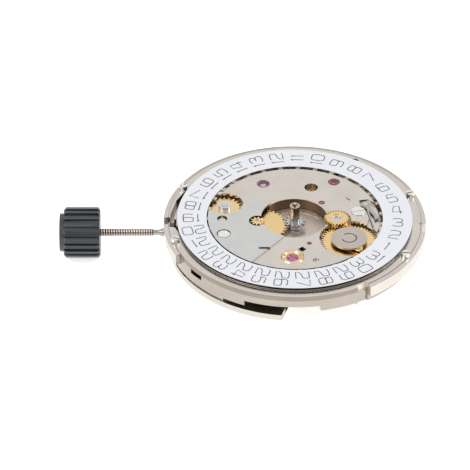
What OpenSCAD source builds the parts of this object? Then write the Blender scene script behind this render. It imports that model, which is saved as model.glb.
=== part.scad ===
// Automatic watch movement, 11 and a half lines, lying dial side up.
// The origin is on the hand axis, in the plane that the dial rests on. The stem points along -X.

/* [Main plate] */
// Diameter over the casing flange
flange_d = 26; // [25.8:0.1:26.6]
// Diameter where the flange is cut back
plate_d = 25; // [24.9:0.1:25.4]
// Height of the rim that the flange is turned on
rim_t = 1.3; // [1.2:0.05:1.4]
// Height of the raised platform inside the date ring
platform_h = 0.25; // [0.2:0.01:0.28]
// Radius of the raised platform
// Thickness of the plate from the platform to the train side
plate_t = 1.32; // [1.28:0.01:1.36]
// Radius of the round recess under the hands
recess_r = 3.25; // [3.15:0.05:3.35]
// Depth of the round recess under the hands
recess_depth = 1.16; // [1.12:0.01:1.18]
// Height of the space for the going train
train_h = 1.01; // [1.01:0.01:1.06]
// Radius of the hole for the dial's foot
dial_foot_r = 0.4; // [0.35:0.01:0.42]
// Depth of the hole for the dial's foot
dial_foot_depth = 1; // [0.8:0.05:1.1]

/* [Date works] */
// Depth of the ring's top under the dial
ring_drop = 0.08; // [0.06:0.01:0.12]
// Thickness of the date ring
ring_t = 0.32; // [0.3:0.01:0.34]
// Outer radius of the date ring
ring_r = 11.64; // [11.55:0.01:11.68]
// Width of the ring's full thickness, from its outer edge to the roots of its teeth
ring_w = 2.51; // [2.45:0.01:2.55]
// Width of the printed face, which hangs over the roots of the teeth
face_w = 2.92; // [2.88:0.01:2.95]
// Thickness of the face where it hangs over
face_t = 0.14; // [0.12:0.01:0.15]
// Distance from the ring's outer edge to the tips of its teeth
teeth_w = 3.19; // [3.15:0.01:3.19]
// Thickness of the ring's teeth
ring_tooth_t = 0.16; // [0.14:0.01:0.17]
// Radius of the disc that carries the date finger
finger_disc_r = 1.79; // [1.7:0.01:1.82]
// Reach of the date finger from its axis
finger_reach = 2.12; // [2:0.01:2.13]
// Thickness of the cover plate over the ring's teeth
cover_t = 0.15; // [0.12:0.01:0.17]

/* [Hands] */
// Radius of the cannon pinion, where the minute hand sits
cannon_r = 0.5; // [0.48:0.01:0.54]
// Height of the cannon pinion above the dial seat
cannon_top = 1.32; // [1.2:0.05:1.5]
// Radius of the seconds arbor, where the seconds hand sits
seconds_r = 0.125; // [0.1:0.005:0.13]
// Height of the seconds arbor above the dial seat
seconds_top = 1.62; // [1.55:0.05:1.8]

/* [Going train] */
// Height of the mainspring barrel
barrel_h = 0.56; // [0.5:0.01:0.57]
// Thickness of a train wheel
wheel_t = 0.08; // [0.06:0.005:0.085]
// Thickness of the bridges
bridge_t = 0.35; // [0.34:0.005:0.36]
// Thickness of the escape wheel
escape_t = 0.14; // [0.12:0.01:0.16]
// Radius of the circle that the escape teeth reach
escape_r = 1.95; // [1.85:0.01:1.96]

/* [Balance] */
// Outer radius of the balance rim
balance_r = 3.9; // [3.7:0.05:3.95]
// Width of the balance rim
balance_rim_w = 0.42; // [0.35:0.01:0.5]
// Height of the balance rim
balance_rim_h = 0.28; // [0.24:0.01:0.29]
// Radius of the roller that carries the impulse jewel
roller_r = 0.75; // [0.7:0.01:0.78]
// Width of the hairspring's strip
hairspring_w = 0.05; // [0.04:0.005:0.07]
// Height of the hairspring's strip
hairspring_h = 0.1; // [0.08:0.01:0.12]

/* [Winding] */
// Depth of the stem's axis under the dial seat
stem_depth = 1.95; // [1.95:0.01:1.97]
// Radius of the stem's thread
stem_r = 0.32; // [0.3:0.01:0.4]
// Radius of the stem's shoulder in the plate
stem_shoulder_r = 0.5; // [0.46:0.01:0.52]
// Way that the stem is pulled out to set the hands
stem_pull = 0.75; // [0.6:0.05:0.75]
// Way that the sliding pinion moves when the stem is pulled out
slide_travel = 0.35; // [0.3:0.01:0.36]
// Outer radius of the winding pinion's teeth
winding_tip_r = 1; // [0.96:0.01:1]
// Outer radius of the sliding pinion
sliding_r = 0.8; // [0.76:0.01:0.8]
// Thickness of the ratchet, crown and reduction wheels
wind_t = 0.2; // [0.16:0.01:0.21]

/* [Knob] */
// Radius of the knob over its ribs
knob_r = 2.5; // [2.3:0.05:2.6]
// Length of the ribbed part of the knob
knob_len = 3.58; // [3.2:0.05:4]
// Number of ribs on the knob
knob_ribs = 20; // [16:1:24]
// Depth of the grooves between the ribs
knob_groove = 0.22; // [0.15:0.01:0.3]
// Radius of the disc on the knob's end
knob_disc_r = 1.9; // [1.7:0.05:2]
// Thickness of the disc on the knob's end
knob_disc_t = 0.42; // [0.3:0.02:0.5]

/* [Automatic works] */
// Outer radius of the rotor weight
rotor_r = 12.45; // [12.4:0.05:12.5]
// Radial width of the rotor weight
rotor_w = 1.25; // [1.1:0.05:1.4]
// Height of the rotor weight
rotor_h = 0.61; // [0.5:0.01:0.61]
// Thickness of the rotor's web
web_t = 0.14; // [0.12:0.01:0.16]
// Angle that the rotor weight spans to each side of its middle
rotor_half_angle = 97.3; // [90:0.1:100]
// Thickness of the automatic bridge
auto_t = 0.16; // [0.14:0.01:0.17]
// Thickness of the reversing wheels
rev_t = 0.12; // [0.1:0.01:0.13]

/* [Fits] */
// Clearance of a pivot in its jewel
pivot_gap = 0.02; // [0.015:0.001:0.025]
// Clearance between neighbours that pass each other
run_gap = 0.04; // [0.03:0.005:0.045]

/* [Hidden] */
$fn = 64;

// Colours of the finishes
nickel = "#c9c4bb";
cover_steel = "#cbcbcc";
gilt = "#ebcd8c";
steel = "#b9b9bd";
ruby = "#a83262";
pink = "#d87aa8";

// Radii of the plate
plate_r = plate_d / 2;
flange_r = flange_d / 2;
flange_chamfer = 0.15;
skirt_r = plate_r - 0.04;
wall_r = plate_r - 0.55;
bridge_r = plate_r - 0.25;
ring_bore_r = ring_r - ring_w;
face_bore_r = ring_r - face_w;
ring_tip_r = ring_r - teeth_w;
platform_r = ring_tip_r - 0.05;
track_r = ring_bore_r - 0.08;
flange_start = -56.5;
flange_end = 206;

// Levels, from the dial seat down to the rotor
z_ring_top = -ring_drop;
z_ring = z_ring_top - ring_t;
z_rim = z_ring - 0.05;
z_rim_end = z_rim - rim_t;
z_platform = z_rim + platform_h;
z_cover = z_platform + cover_t;
z_floor = z_platform - plate_t;
z_recess = z_platform - recess_depth;
z_track = z_rim - 0.4;
z_motion = z_platform - 0.42;
motion_t = 0.22;
z_barrel = z_floor - run_gap;
z_barrel_end = z_barrel - barrel_h;
z_centre = z_barrel_end - run_gap;
z_seconds = z_centre - wheel_t - run_gap;
z_third = z_seconds - wheel_t - run_gap;
z_seat = z_floor - train_h;
z_back = z_seat - bridge_t;
z_escape = z_floor - 0.18;
z_escape_end = z_escape - escape_t;
z_roller = z_escape_end - 0.08;
roller_t = 0.1;
z_pallet_cock = z_escape_end - 0.11;
pallet_cock_t = 0.16;
z_balance = z_seconds - wheel_t - 0.06;
z_hairspring = z_balance - balance_rim_h - 0.08;
z_cock = z_hairspring - hairspring_h - 0.05;
cock_t = 0.28;
z_cock_end = z_cock - cock_t;
z_wind = z_back + 0.08;
z_wind_end = z_wind - wind_t;
z_wind_floor = z_wind + run_gap;
z_ratchet_face = z_wind_end + 0.05;
z_auto = z_wind_end - run_gap;
z_auto_end = z_auto - auto_t;
z_rev = z_auto_end - run_gap;
z_rev_end = z_rev - rev_t;
z_web = z_rev_end - 0.08;
z_web_end = z_web - web_t;
z_last = z_web_end - 0.02;
z_stem = -stem_depth;
z_key = z_platform - 0.92;
key_t = 0.14;
z_lever = z_key + run_gap + key_t;
z_inter = z_motion - motion_t - run_gap;
z_inter_end = z_stem + sliding_r + 0.03;
z_setting_end = z_inter_end + 0.06;
bridge_step_r = rotor_r - rotor_w - 0.3;
z_bridge_step = z_seat - 0.25;

// Places of the axes, seen from the dial side
centre = [0, 0];
barrel_at = [-3.07, 5.84];
third_at = [2.73, 2.61];
escape_at = [2.85, -2.37];
pallet_at = [1.37, -4.18];
balance_at = [-0.3, -6.4];
minute_at = [-3.68, -0.64];
setting_at = [-6.95, 2.35];
inter_setting_at = [-7.17, -0.28];
inter_date_at = [4.19, -0.15];
date_drive_at = [5.3, -3.35];
crown_at = [-7, 0];
reduction_at = [4.02, 6.16];
reverser_a_at = [1.042, 3.395];
reverser_b_at = [3.642, 2.114];
jumper_at = [7.1, 2.4];
lever_at = [-11.15, 2.3];
yoke_at = [-9.1, -3.2];
click_at = [-7.2, 7.4];
pallet_foot_at = [3.4, -6.1];
cock_foot_at = [-8, -6.6];
lever_screw_at = [-9.6, 3.9];
bridge_screws_at = [[-9.9, 3.6], [-9.6, -3.6], [1.3, 10.35], [8.6, 6.1], [9.9, -1.2], [5.3, -4.4]];
auto_feet_at = [[5.9, 0.9], [-1.15, -1.25], [8, 3.2]];
dial_foot_turn = 58.7;
seat_turn = [19.4, 154.2, 197, 330.8];
seat_r = plate_r - 0.2;

// Tooth counts
barrel_n = 75;
centre_pinion_n = 15;
centre_n = 80;
third_pinion_n = 10;
third_n = 75;
seconds_pinion_n = 10;
seconds_n = 84;
escape_pinion_n = 7;
escape_n = 20;
cannon_n = 12;
minute_n = 36;
minute_pinion_n = 10;
setting_n = 21;
inter_setting_n = 13;
date_n = 48;
inter_date_n = 25;
inter_date_pinion_n = 14;
ring_n = 31;
ratchet_n = 63;
crown_n = 60;
winding_n = 14;
reduction_n = 61;
rev_pinion_n = 10;
rotor_n = 42;
reverser_n = 29;

// Radius of a wheel's pitch circle, from the distance to its mate and both tooth counts
function pitch(a, b, n, mate) = norm(b - a) * n / (n + mate);
// Direction from one axis to another
function way(a, b) = atan2(b[1] - a[1], b[0] - a[0]);
// Turn of a wheel with n_b teeth, so that it meshes with a wheel of n_a teeth that is turned by turn_a
function mesh(a, b, n_a, turn_a, n_b) =
    way(a, b) + 180 + ((way(a, b) - turn_a) * n_a / 360 + 0.5) * 360 / n_b;

barrel_pr = pitch(barrel_at, centre, barrel_n, centre_pinion_n);
centre_pinion_pr = pitch(barrel_at, centre, centre_pinion_n, barrel_n);
centre_pr = pitch(centre, third_at, centre_n, third_pinion_n);
third_pinion_pr = pitch(centre, third_at, third_pinion_n, centre_n);
third_pr = pitch(centre, third_at, third_n, seconds_pinion_n);
seconds_pinion_pr = pitch(centre, third_at, seconds_pinion_n, third_n);
seconds_pr = pitch(centre, escape_at, seconds_n, escape_pinion_n);
escape_pinion_pr = pitch(centre, escape_at, escape_pinion_n, seconds_n);
cannon_pr = pitch(centre, minute_at, cannon_n, minute_n);
minute_pr = pitch(centre, minute_at, minute_n, cannon_n);
setting_pr = pitch(minute_at, setting_at, setting_n, minute_n);
inter_setting_pr = pitch(setting_at, inter_setting_at, inter_setting_n, setting_n);
date_pr = pitch(inter_date_at, date_drive_at, date_n, inter_date_pinion_n);
inter_date_pinion_pr = pitch(inter_date_at, date_drive_at, inter_date_pinion_n, date_n);
inter_date_r = 1.26;
crown_pr = pitch(barrel_at, crown_at, crown_n, ratchet_n);
ratchet_pr = pitch(barrel_at, crown_at, ratchet_n, crown_n);
reduction_pr = pitch(barrel_at, reduction_at, reduction_n, ratchet_n);
rev_pinion_pr = pitch(reduction_at, reverser_a_at, rev_pinion_n, reduction_n);
rotor_pr = pitch(centre, reverser_a_at, rotor_n, reverser_n);
reverser_pr = pitch(centre, reverser_a_at, reverser_n, rotor_n);
winding_pr = crown_pr * winding_n / crown_n;

// Turns that bring the meshing pairs tooth to gap
seconds_turn = way(centre, escape_at);
escape_pinion_turn = mesh(centre, escape_at, seconds_n, seconds_turn, escape_pinion_n);
seconds_pinion_turn = 0;
third_turn = mesh(centre, third_at, seconds_pinion_n, seconds_pinion_turn, third_n);
centre_turn = way(centre, third_at);
third_pinion_turn = mesh(centre, third_at, centre_n, centre_turn, third_pinion_n);
centre_pinion_turn = way(centre, barrel_at);
barrel_turn = mesh(centre, barrel_at, centre_pinion_n, centre_pinion_turn, barrel_n);
cannon_turn = way(centre, minute_at);
minute_turn = mesh(centre, minute_at, cannon_n, cannon_turn, minute_n);
setting_turn = mesh(minute_at, setting_at, minute_n, minute_turn, setting_n);
inter_setting_turn = mesh(setting_at, inter_setting_at, setting_n, setting_turn, inter_setting_n);
inter_date_turn = way(inter_date_at, date_drive_at);
date_turn = mesh(inter_date_at, date_drive_at, inter_date_pinion_n, inter_date_turn, date_n);
crown_turn = 180 + 180 / crown_n;
ratchet_turn = mesh(crown_at, barrel_at, crown_n, crown_turn, ratchet_n);
reduction_turn = mesh(barrel_at, reduction_at, ratchet_n, ratchet_turn, reduction_n);
rev_a_turn = mesh(reduction_at, reverser_a_at, reduction_n, reduction_turn, rev_pinion_n);
rev_b_turn = mesh(reduction_at, reverser_b_at, reduction_n, reduction_turn, rev_pinion_n);
rotor_turn = way(centre, reverser_a_at);
reverser_a_turn = mesh(centre, reverser_a_at, rotor_n, rotor_turn, reverser_n);
reverser_b_turn = mesh(reverser_a_at, reverser_b_at, reverser_n, reverser_a_turn, reverser_n);

// Radii of the pivots, their arbors and their jewels
pivot_r = 0.08;
arbor_r = 0.13;
small_pivot_r = 0.06;
train_jewel_r = 0.33;
pallet_jewel_r = 0.25;
barrel_pivot_r = 0.3;
barrel_jewel_r = 0.65;
barrel_core_r = 1;
barrel_boss_r = 0.6;
reduction_jewel_r = 0.6;
arbor_gap = 0.08;
jewel_t = 0.34;
jewel_sink = 0.06;
z_jewel = z_platform - jewel_sink;
z_pivot = z_jewel - 0.12;
stem_slot_w = 2 * stem_shoulder_r + 0.12;
tube_r = cannon_r - 0.165;
tube_bore_r = seconds_r + 0.075;
bush_gap = 0.02;
screw_head_r = 0.55;
screw_r = 0.3;
screw_head_t = 0.18;
slot_w = 0.16;
post_r = 0.35;
shock_r = 1.15;
shock_hole_r = 0.35;

// Moves its children to a place in the plan, at a height
module at(p, z = 0) translate([p[0], p[1], z]) children();

// A straight cylinder from one level down to another
module rod(top, bottom, r) translate([0, 0, bottom]) cylinder(r = r, h = top - bottom);

// A plain ring between two levels
module tube(top, bottom, r, bore) {
    difference() {
        rod(top, bottom, r);
        rod(top + 1, bottom - 1, bore);
    }
}

// A sector of a turned ring, between two radii, two levels and two angles
module sector(r1, r2, top, bottom, a1, a2) {
    rotate([0, 0, a1])
        rotate_extrude(angle = a2 - a1)
            translate([r1, bottom]) square([r2 - r1, top - bottom]);
}

// An arbor of several diameters, given as [top, bottom, radius]
module arbor(steps) for (s = steps) rod(s[0], s[1], s[2]);

// Outline of a toothed wheel. Each tooth is narrower at its tip than at its root
module toothed(n, pr, add, ded, turn = 0, tip = 0.26, root = 0.6) {
    corners = [[-root / 2, -ded], [-tip / 2, add], [tip / 2, add], [root / 2, -ded]];
    polygon([
        for (i = [0 : n - 1]) for (c = corners)
            let (a = turn + (i + c[0]) * 360 / n) (pr + c[1]) * [cos(a), sin(a)]
    ]);
}

// A toothed disc between two levels, with addendum and dedendum as shares of its module
module gear(n, pr, top, t, turn = 0, add = 0.75, ded = 1.1) {
    m = 2 * pr / n;
    translate([0, 0, top - t]) linear_extrude(t) toothed(n, pr, add * m, ded * m, turn);
}

// The windows between a wheel's arms
module windows(rim, hub, arms, arm_w, turn = 0) {
    difference() {
        circle(rim);
        circle(hub);
        for (k = [0 : arms - 1])
            rotate(turn + k * 360 / arms) translate([0, -arm_w / 2]) square([rim + 1, arm_w]);
    }
}

// A toothed wheel with arms
module spoked(n, pr, top, t, turn, rim_w, hub, arms, arm_w) {
    m = 2 * pr / n;
    translate([0, 0, top - t]) linear_extrude(t) difference() {
        toothed(n, pr, 0.75 * m, 1.1 * m, turn);
        windows(pr - 1.1 * m - rim_w, hub, arms, arm_w);
    }
}

// Flat bar with round ends between two points
module bar(a, b, ra, rb) {
    side = [-sin(way(a, b)), cos(way(a, b))];
    translate(a) circle(ra);
    translate(b) circle(rb);
    polygon([a + ra * side, a - ra * side, b - rb * side, b + rb * side]);
}

// Straight strip between two points, with square ends
module link(a, b, half_w) {
    side = half_w * [-sin(way(a, b)), cos(way(a, b))];
    polygon([a + side, a - side, b - side, b + side]);
}

// Slotted screw with its head up at the level top; flip turns it to the bridge side
module screw(top, head_r, head_t, shank_r, shank_l, slot_turn = 0) {
    difference() {
        union() {
            rod(top, top - head_t, head_r);
            rod(top - head_t, top - head_t - shank_l, shank_r);
        }
        rotate([0, 0, slot_turn])
            translate([-head_r - 1, -slot_w / 2, top - head_t * 0.45])
                cube([2 * head_r + 2, slot_w, head_t]);
    }
}

// The same screw, seen from the bridge side, with its head down at the level bottom
module screw_below(bottom, head_r, head_t, shank_r, shank_l, slot_turn = 0) {
    mirror([0, 0, 1]) screw(-bottom, head_r, head_t, shank_r, shank_l, slot_turn);
}

// Jewel with a round hole and an oil sink on its upper side
module jewel(top, r, t, hole) {
    rotate_extrude() polygon([
        [hole, top - t], [r, top - t], [r, top], [r * 0.62, top], [hole, top - 0.35 * t]
    ]);
}

// The same jewel with its oil sink on the lower side
module jewel_below(bottom, r, t, hole) mirror([0, 0, 1]) jewel(-bottom, r, t, hole);

// Dial side of the main plate

// Solid outline of the plate: rim, platform, flange and the wall round the train's space
module plate_blank() {
    difference() {
        union() {
            rod(z_rim, z_rim_end, plate_r);
            rod(z_platform, z_rim - 0.1, platform_r);
            rotate([0, 0, flange_start])
                rotate_extrude(angle = flange_end - flange_start)
                    polygon([
                        [plate_r - 0.3, z_rim_end + 0.02], [flange_r, z_rim_end + 0.02],
                        [flange_r, z_rim - flange_chamfer], [plate_r - 0.2, z_rim - 0.01],
                        [plate_r - 0.3, z_rim - 0.01]
                    ]);
            sector(wall_r - 0.3, skirt_r, z_rim_end + 0.3, z_seat, -62, 235.5);
            sector(wall_r - 0.3, skirt_r, z_rim_end + 0.3, z_seat + 0.2, 235, 246.3);
            sector(wall_r - 0.3, skirt_r, z_rim_end + 0.3, z_seat + 0.18, -79, -61.8);
        }
        rod(z_floor, z_seat - 1, wall_r);
        at(barrel_at) rod(z_floor, z_seat + 0.3, barrel_pr + 0.22);
    }
}

module plate_posts() {
    for (p = bridge_screws_at) at(p) rod(z_floor, z_seat, screw_head_r + 0.05);
    at(pallet_foot_at) rod(z_floor, z_pallet_cock, screw_head_r);
    at(cock_foot_at) rod(z_floor, z_seat, 1.1);
    translate([-7.75, -0.5, z_seat + 0.1]) cube([0.85, 1, train_h - 0.1]);
}

module keyless_outline() {
    polygon([
        [-12.4, -1.1], [-12.3, 1], [-11.75, 3.3], [-10.9, 4.9], [-8.9, 4.7], [-8.4, 1.3],
        [-6, 1.3], [-6, -1.6], [-7.8, -4.3], [-9.6, -4.3], [-11, -3], [-11.9, -1.2]
    ]);
}

module dial_side_cuts() {
    // Round recess under the hands, with a step near its wall
    rod(z_platform + 1, z_recess + 0.08, recess_r);
    rod(z_recess + 1, z_recess, recess_r - 0.65);
    at([1.66, 1.05]) rod(z_recess + 1, z_recess - 0.05, 0.9);
    // Track of the ring's teeth
    tube(z_rim + 0.001, z_track, track_r, platform_r);
    // Motion works and setting wheels
    at(minute_at) tube(z_platform + 1, z_motion - motion_t - 0.1, minute_pr + 0.2, post_r);
    at(setting_at) tube(z_platform + 1, z_setting_end - 0.06, setting_pr + 0.25, post_r);
    at(inter_setting_at) tube(z_platform + 1, z_inter_end - run_gap, inter_setting_pr + 0.25, post_r);
    // Date wheels
    at(inter_date_at) tube(z_platform + 1, z_platform - 0.85, inter_date_r + 0.14, post_r);
    at(date_drive_at) tube(z_platform + 1, z_platform - 0.8, date_pr + 0.3, post_r);
    // Date jumper
    translate([0, 0, z_ring - 0.1]) linear_extrude(2) difference() {
        polygon([
            [6.45, 3], [7.4, 3.2], [8.6, 1.9], [8.9, 0], [8.5, -1.7], [7, -1.6], [7.35, 0], [6.95, 1.5],
            [6.5, 1.95]
        ]);
        translate(jumper_at) circle(post_r - 0.1);
    }
    // Keyless works
    translate([0, 0, z_key]) linear_extrude(2) difference() {
        keyless_outline();
        translate(lever_at) circle(0.25);
        translate(yoke_at) circle(0.25);
        translate(inter_setting_at) circle(post_r);
        translate(lever_screw_at) circle(0.5);
    }
    translate([-wall_r, -1.08, z_seat - 1]) cube([4.05, 2.16, z_key - z_seat + 1.3]);
    translate([-plate_r - 0.12, -0.4, z_stem]) cube([1.2, 0.8, 2]);
    translate([-flange_r - 0.1, -stem_slot_w / 2, z_stem - 1])
        cube([flange_r - plate_r + 0.15, stem_slot_w, 3]);
    // Tops of the wheel posts
    for (p = [minute_at, setting_at, inter_setting_at, inter_date_at])
        at(p) rod(z_platform + 1, z_platform - 0.02, post_r + 0.1);
    at(date_drive_at) rod(z_platform + 1, z_platform - 0.18, post_r + 0.1);
    at(jumper_at) rod(z_platform + 1, z_platform - 0.02, post_r);
    for (p = [lever_at, yoke_at]) at(p) rod(z_platform + 1, z_lever + 0.1, 0.3);
    at(lever_screw_at) rod(z_platform + 1, z_lever + run_gap, 0.55);
}

// Hole for a jewel, with a narrower hole for its arbor under it
module jewel_hole(p, r, bottom, arbor_hole_r) at(p) {
    rod(1, bottom, r);
    rod(bottom + 0.05, z_floor - 0.5, arbor_hole_r);
}

module plate_holes() {
    // Stem
    translate([-flange_r - 1, 0, z_stem]) rotate([0, 90, 0])
        cylinder(r = stem_shoulder_r + 0.02, h = flange_r - wall_r + 2);
    translate([-8, 0, z_stem]) rotate([0, 90, 0]) cylinder(r = 0.24, h = 1.2);
    // Hand axis
    rod(1, z_floor - 1, tube_r + bush_gap);
    // Jewels and their arbors
    jewel_hole(barrel_at, barrel_jewel_r, z_jewel - jewel_t, barrel_pivot_r + arbor_gap);
    jewel_hole(third_at, train_jewel_r, z_jewel - jewel_t, arbor_r + arbor_gap);
    jewel_hole(reduction_at, reduction_jewel_r, z_jewel - jewel_t, arbor_r + arbor_gap);
    jewel_hole(pallet_at, pallet_jewel_r, z_jewel - jewel_t, arbor_r + 0.03);
    at(escape_at) {
        rod(z_platform - 0.7, z_floor + 0.1, train_jewel_r);
        rod(z_floor + 0.15, z_floor - 0.5, arbor_r + arbor_gap);
    }
    jewel_hole(balance_at, shock_r, z_platform - 0.8, shock_hole_r);
    // Sight holes and small holes of the dial side
    at([1.72, 5.22]) rod(1, z_floor - 1, 0.68);
    at([0.67, -5.17]) rod(1, z_floor - 1, 0.42, $fn = 4);
    at([1.96, -6.94]) rod(1, z_platform - 0.3, 0.3);
    at([-2.93, -5.17]) translate([-0.45, -0.1, z_platform - 0.4]) cube([0.9, 0.2, 1]);
    at([5.35, 3.24]) rotate([0, 0, -50])
        translate([-0.3, -0.06, z_platform - 0.3]) cube([0.6, 0.12, 1]);
    at([6.32, 1.08]) rod(z_platform, z_platform - 0.7, screw_r);
    at([6.32, 1.08]) rod(1, z_platform - 0.12, 0.72);
    at([-7, -2.8]) rod(1, z_platform - 0.7, screw_r);
    // Screws
    for (p = bridge_screws_at) at(p) rod(z_seat + 0.7, z_seat - 1, screw_r);
    at(pallet_foot_at) rod(z_pallet_cock + 0.7, z_pallet_cock - 1, screw_r * 0.7);
    at(cock_foot_at) rod(z_seat + 0.7, z_seat - 1, screw_r);
    at(lever_screw_at) rod(1, z_floor + 0.05, screw_r * 0.7);
    for (a = seat_turn) rotate([0, 0, a]) at([seat_r, 0]) {
        rod(1, z_rim - flange_chamfer, 0.42);
        rod(z_rim - 0.1, z_rim - 0.9, 0.22);
    }
    rotate([0, 0, dial_foot_turn])
        at([ring_r + 0.28, 0]) rod(1, z_rim - dial_foot_depth, dial_foot_r);
    // Notch in the flange, and the window in the rim over the balance cock's foot
    translate([plate_r - 0.2, -1.8, z_rim_end - 1]) cube([2, 1.4, rim_t + 2]);
    rotate([0, 0, 219]) translate([wall_r - 0.6, -0.8, z_rim_end + 0.2]) cube([2, 1.6, 0.5]);
    rotate([0, 0, -61.5]) translate([plate_r - 0.3, 0, z_seat - 1]) cube([2, 1.15, train_h + 3]);
}

module main_plate() {
    color(nickel) difference() {
        union() {
            plate_blank();
            plate_posts();
        }
        dial_side_cuts();
        plate_holes();
    }
}

// Date works

module date_ring() {
    color("#e9ecf5") union() {
        rotate_extrude($fn = 180) polygon([
            [ring_bore_r, z_ring], [ring_r, z_ring], [ring_r, z_ring_top], [face_bore_r, z_ring_top],
            [face_bore_r, z_ring_top - face_t], [ring_bore_r, z_ring_top - face_t]
        ]);
        translate([0, 0, z_ring]) linear_extrude(ring_tooth_t)
            for (i = [0 : ring_n - 1]) rotate((i + 0.5) * 360 / ring_n)
                polygon([
                    [ring_bore_r + 0.2, -0.32], [ring_tip_r, -0.2], [ring_tip_r, 0.2],
                    [ring_bore_r + 0.2, 0.32]
                ]);
    }
}

module date_cover_plate() {
    color(cover_steel) translate([0, 0, z_platform]) linear_extrude(cover_t) difference() {
        intersection() {
            circle(face_bore_r - 0.13, $fn = 180);
            polygon([
                [-5.2, 2.15], [-2.4, 2.5], [0, 0], [-0.9, -2.9], [-4.9, -8.2], [-11, -8], [-12, 2.4]
            ]);
        }
        circle(recess_r + 0.08);
        translate(setting_at) circle(setting_pr + 0.2);
        translate(minute_at) circle(0.85);
        translate(inter_setting_at) circle(0.5);
        translate([-7, -2.8]) circle(0.7);
        translate([-2.93, -5.17]) square([1.3, 0.3], center = true);
    }
}

module dial_seat_screws() {
    color("#dcd9d2") for (i = [0 : 3]) rotate([0, 0, seat_turn[i]])
        at([seat_r, 0]) screw(0, 0.42, flange_chamfer - z_rim, 0.22, 0.75 - flange_chamfer, 70 * i);
}

module dial_side_screws() {
    color("#dcdad6") {
        at([6.32, 1.08]) screw(z_platform + 0.08, 0.7, 0.2, screw_r, 0.5, 12);
        at([-7, -2.8]) screw(z_platform + 0.12, 0.6, 0.12, screw_r, 0.5, 40);
        at(lever_screw_at) screw(z_lever + run_gap + 0.26, 0.45, 0.14, screw_r * 0.7, 0.4, 25);
    }
}

module date_jumper() {
    post_bore = post_r - 0.1 + bush_gap;
    beak = [ring_tip_r - 0.05, 0.15];
    color("#b4b2ae") difference() {
        translate([0, 0, z_ring]) linear_extrude(ring_tooth_t) {
            translate(jumper_at) circle(0.5);
            polygon([[6.95, 2.1], [7.85, 0.45], [7.95, -0.15], beak, [8.1, 0.7], [7.45, 2.3]]);
            polygon([[7.05, 2.3], [7.68, -1.22], [7.78, -1.2], [7.2, 2.3]]);
        }
        at(jumper_at) rod(1, z_platform - 1, post_bore);
    }
}

module date_driving_wheel() {
    top = z_platform - 0.42;
    color(gilt) at(date_drive_at) difference() {
        union() {
            gear(date_n, date_pr, top, 0.23, date_turn, 0.9);
            rod(z_platform - 0.14, top, 0.72);
            translate([0, 0, z_platform - 0.26]) linear_extrude(0.12)
                rotate(-59) polygon([
                    [0, -1.1], [1.3, -0.55], [finger_reach, -0.14], [finger_reach, 0.2], [1.2, 0.9], [0, 1.3]
                ]);
        }
        rod(z_platform - 0.16, top - 1, post_r + bush_gap);
    }
}

module date_finger_disc() {
    color("#bcbcc0") at(date_drive_at) difference() {
        rod(z_platform + 0.04, z_platform - 0.14, finger_disc_r);
        rotate([0, 0, 200]) rotate_extrude(angle = 290)
            translate([0.66, z_platform]) square([0.12, 1]);
    }
}

module intermediate_date_wheel() {
    color(gilt) at(inter_date_at) difference() {
        union() {
            gear(inter_date_n, inter_date_r - 0.1, z_platform + 0.15, 0.46, inter_date_turn, 1);
            gear(inter_date_pinion_n, inter_date_pinion_pr, z_platform - 0.3, 0.45, inter_date_turn);
        }
        rod(z_platform + 1, z_platform - 2, post_r + bush_gap);
        rod(z_platform + 1, z_platform + 0.08, 0.62);
    }
}

// Motion works and setting wheels

module cannon_pinion() {
    color("#c4c2c0") difference() {
        union() {
            rod(cannon_top, z_motion, cannon_r);
            rod(z_motion + 0.02, z_recess + 0.06, cannon_r + 0.18);
            gear(cannon_n, cannon_pr, z_motion + 0.04, motion_t + 0.1, cannon_turn, 0.7);
        }
        rod(cannon_top + 1, z_recess - 1, tube_r);
    }
}

module cannon_spring() {
    tip = [0.97, -1.01];
    color("#6b6764") translate([0, 0, z_recess]) linear_extrude(0.1) {
        bar([-0.45, -0.68], tip, 0.04, 0.05);
        bar(tip, [-0.12, -1.51], 0.05, 0.04);
    }
}

module minute_wheel() {
    m = 2 * minute_pr / minute_n;
    color(gilt) at(minute_at) difference() {
        union() {
            gear(minute_n, minute_pr, z_motion, motion_t, minute_turn, 0.6);
            translate([0, 0, z_motion - 0.01]) linear_extrude(z_platform + 0.12 - z_motion)
                toothed(minute_pinion_n, 0.62, 0.09, 0.14, 9);
        }
        rod(1, z_motion - 1, post_r + bush_gap);
    }
}

module setting_wheel() {
    color(gilt) at(setting_at) difference() {
        union() {
            gear(setting_n, setting_pr, z_motion, z_motion - z_setting_end, setting_turn, 0.6);
            rod(z_platform - 0.04, z_motion - 0.01, 0.62);
        }
        rod(1, z_motion - 1, post_r + bush_gap);
    }
}

module intermediate_setting_wheel() {
    color("#b9b6b2") at(inter_setting_at) difference() {
        gear(inter_setting_n, inter_setting_pr, z_inter, z_inter - z_inter_end, inter_setting_turn, 0.6);
        rod(1, z_inter - 1, post_r + bush_gap);
    }
}

// Jewels and shock settings

module dial_side_jewels() {
    color(ruby) {
        at(barrel_at) jewel(z_jewel, barrel_jewel_r, jewel_t, barrel_pivot_r + pivot_gap);
        at(third_at) jewel(z_jewel, train_jewel_r, jewel_t, pivot_r + pivot_gap);
        at(reduction_at) jewel(z_jewel, reduction_jewel_r, jewel_t, pivot_r + pivot_gap);
        at(pallet_at) jewel(z_jewel, pallet_jewel_r, jewel_t, small_pivot_r + pivot_gap);
        at(escape_at) jewel(z_platform - 0.84, train_jewel_r, z_platform - 0.94 - z_floor,
            small_pivot_r + pivot_gap);
    }
}

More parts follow.
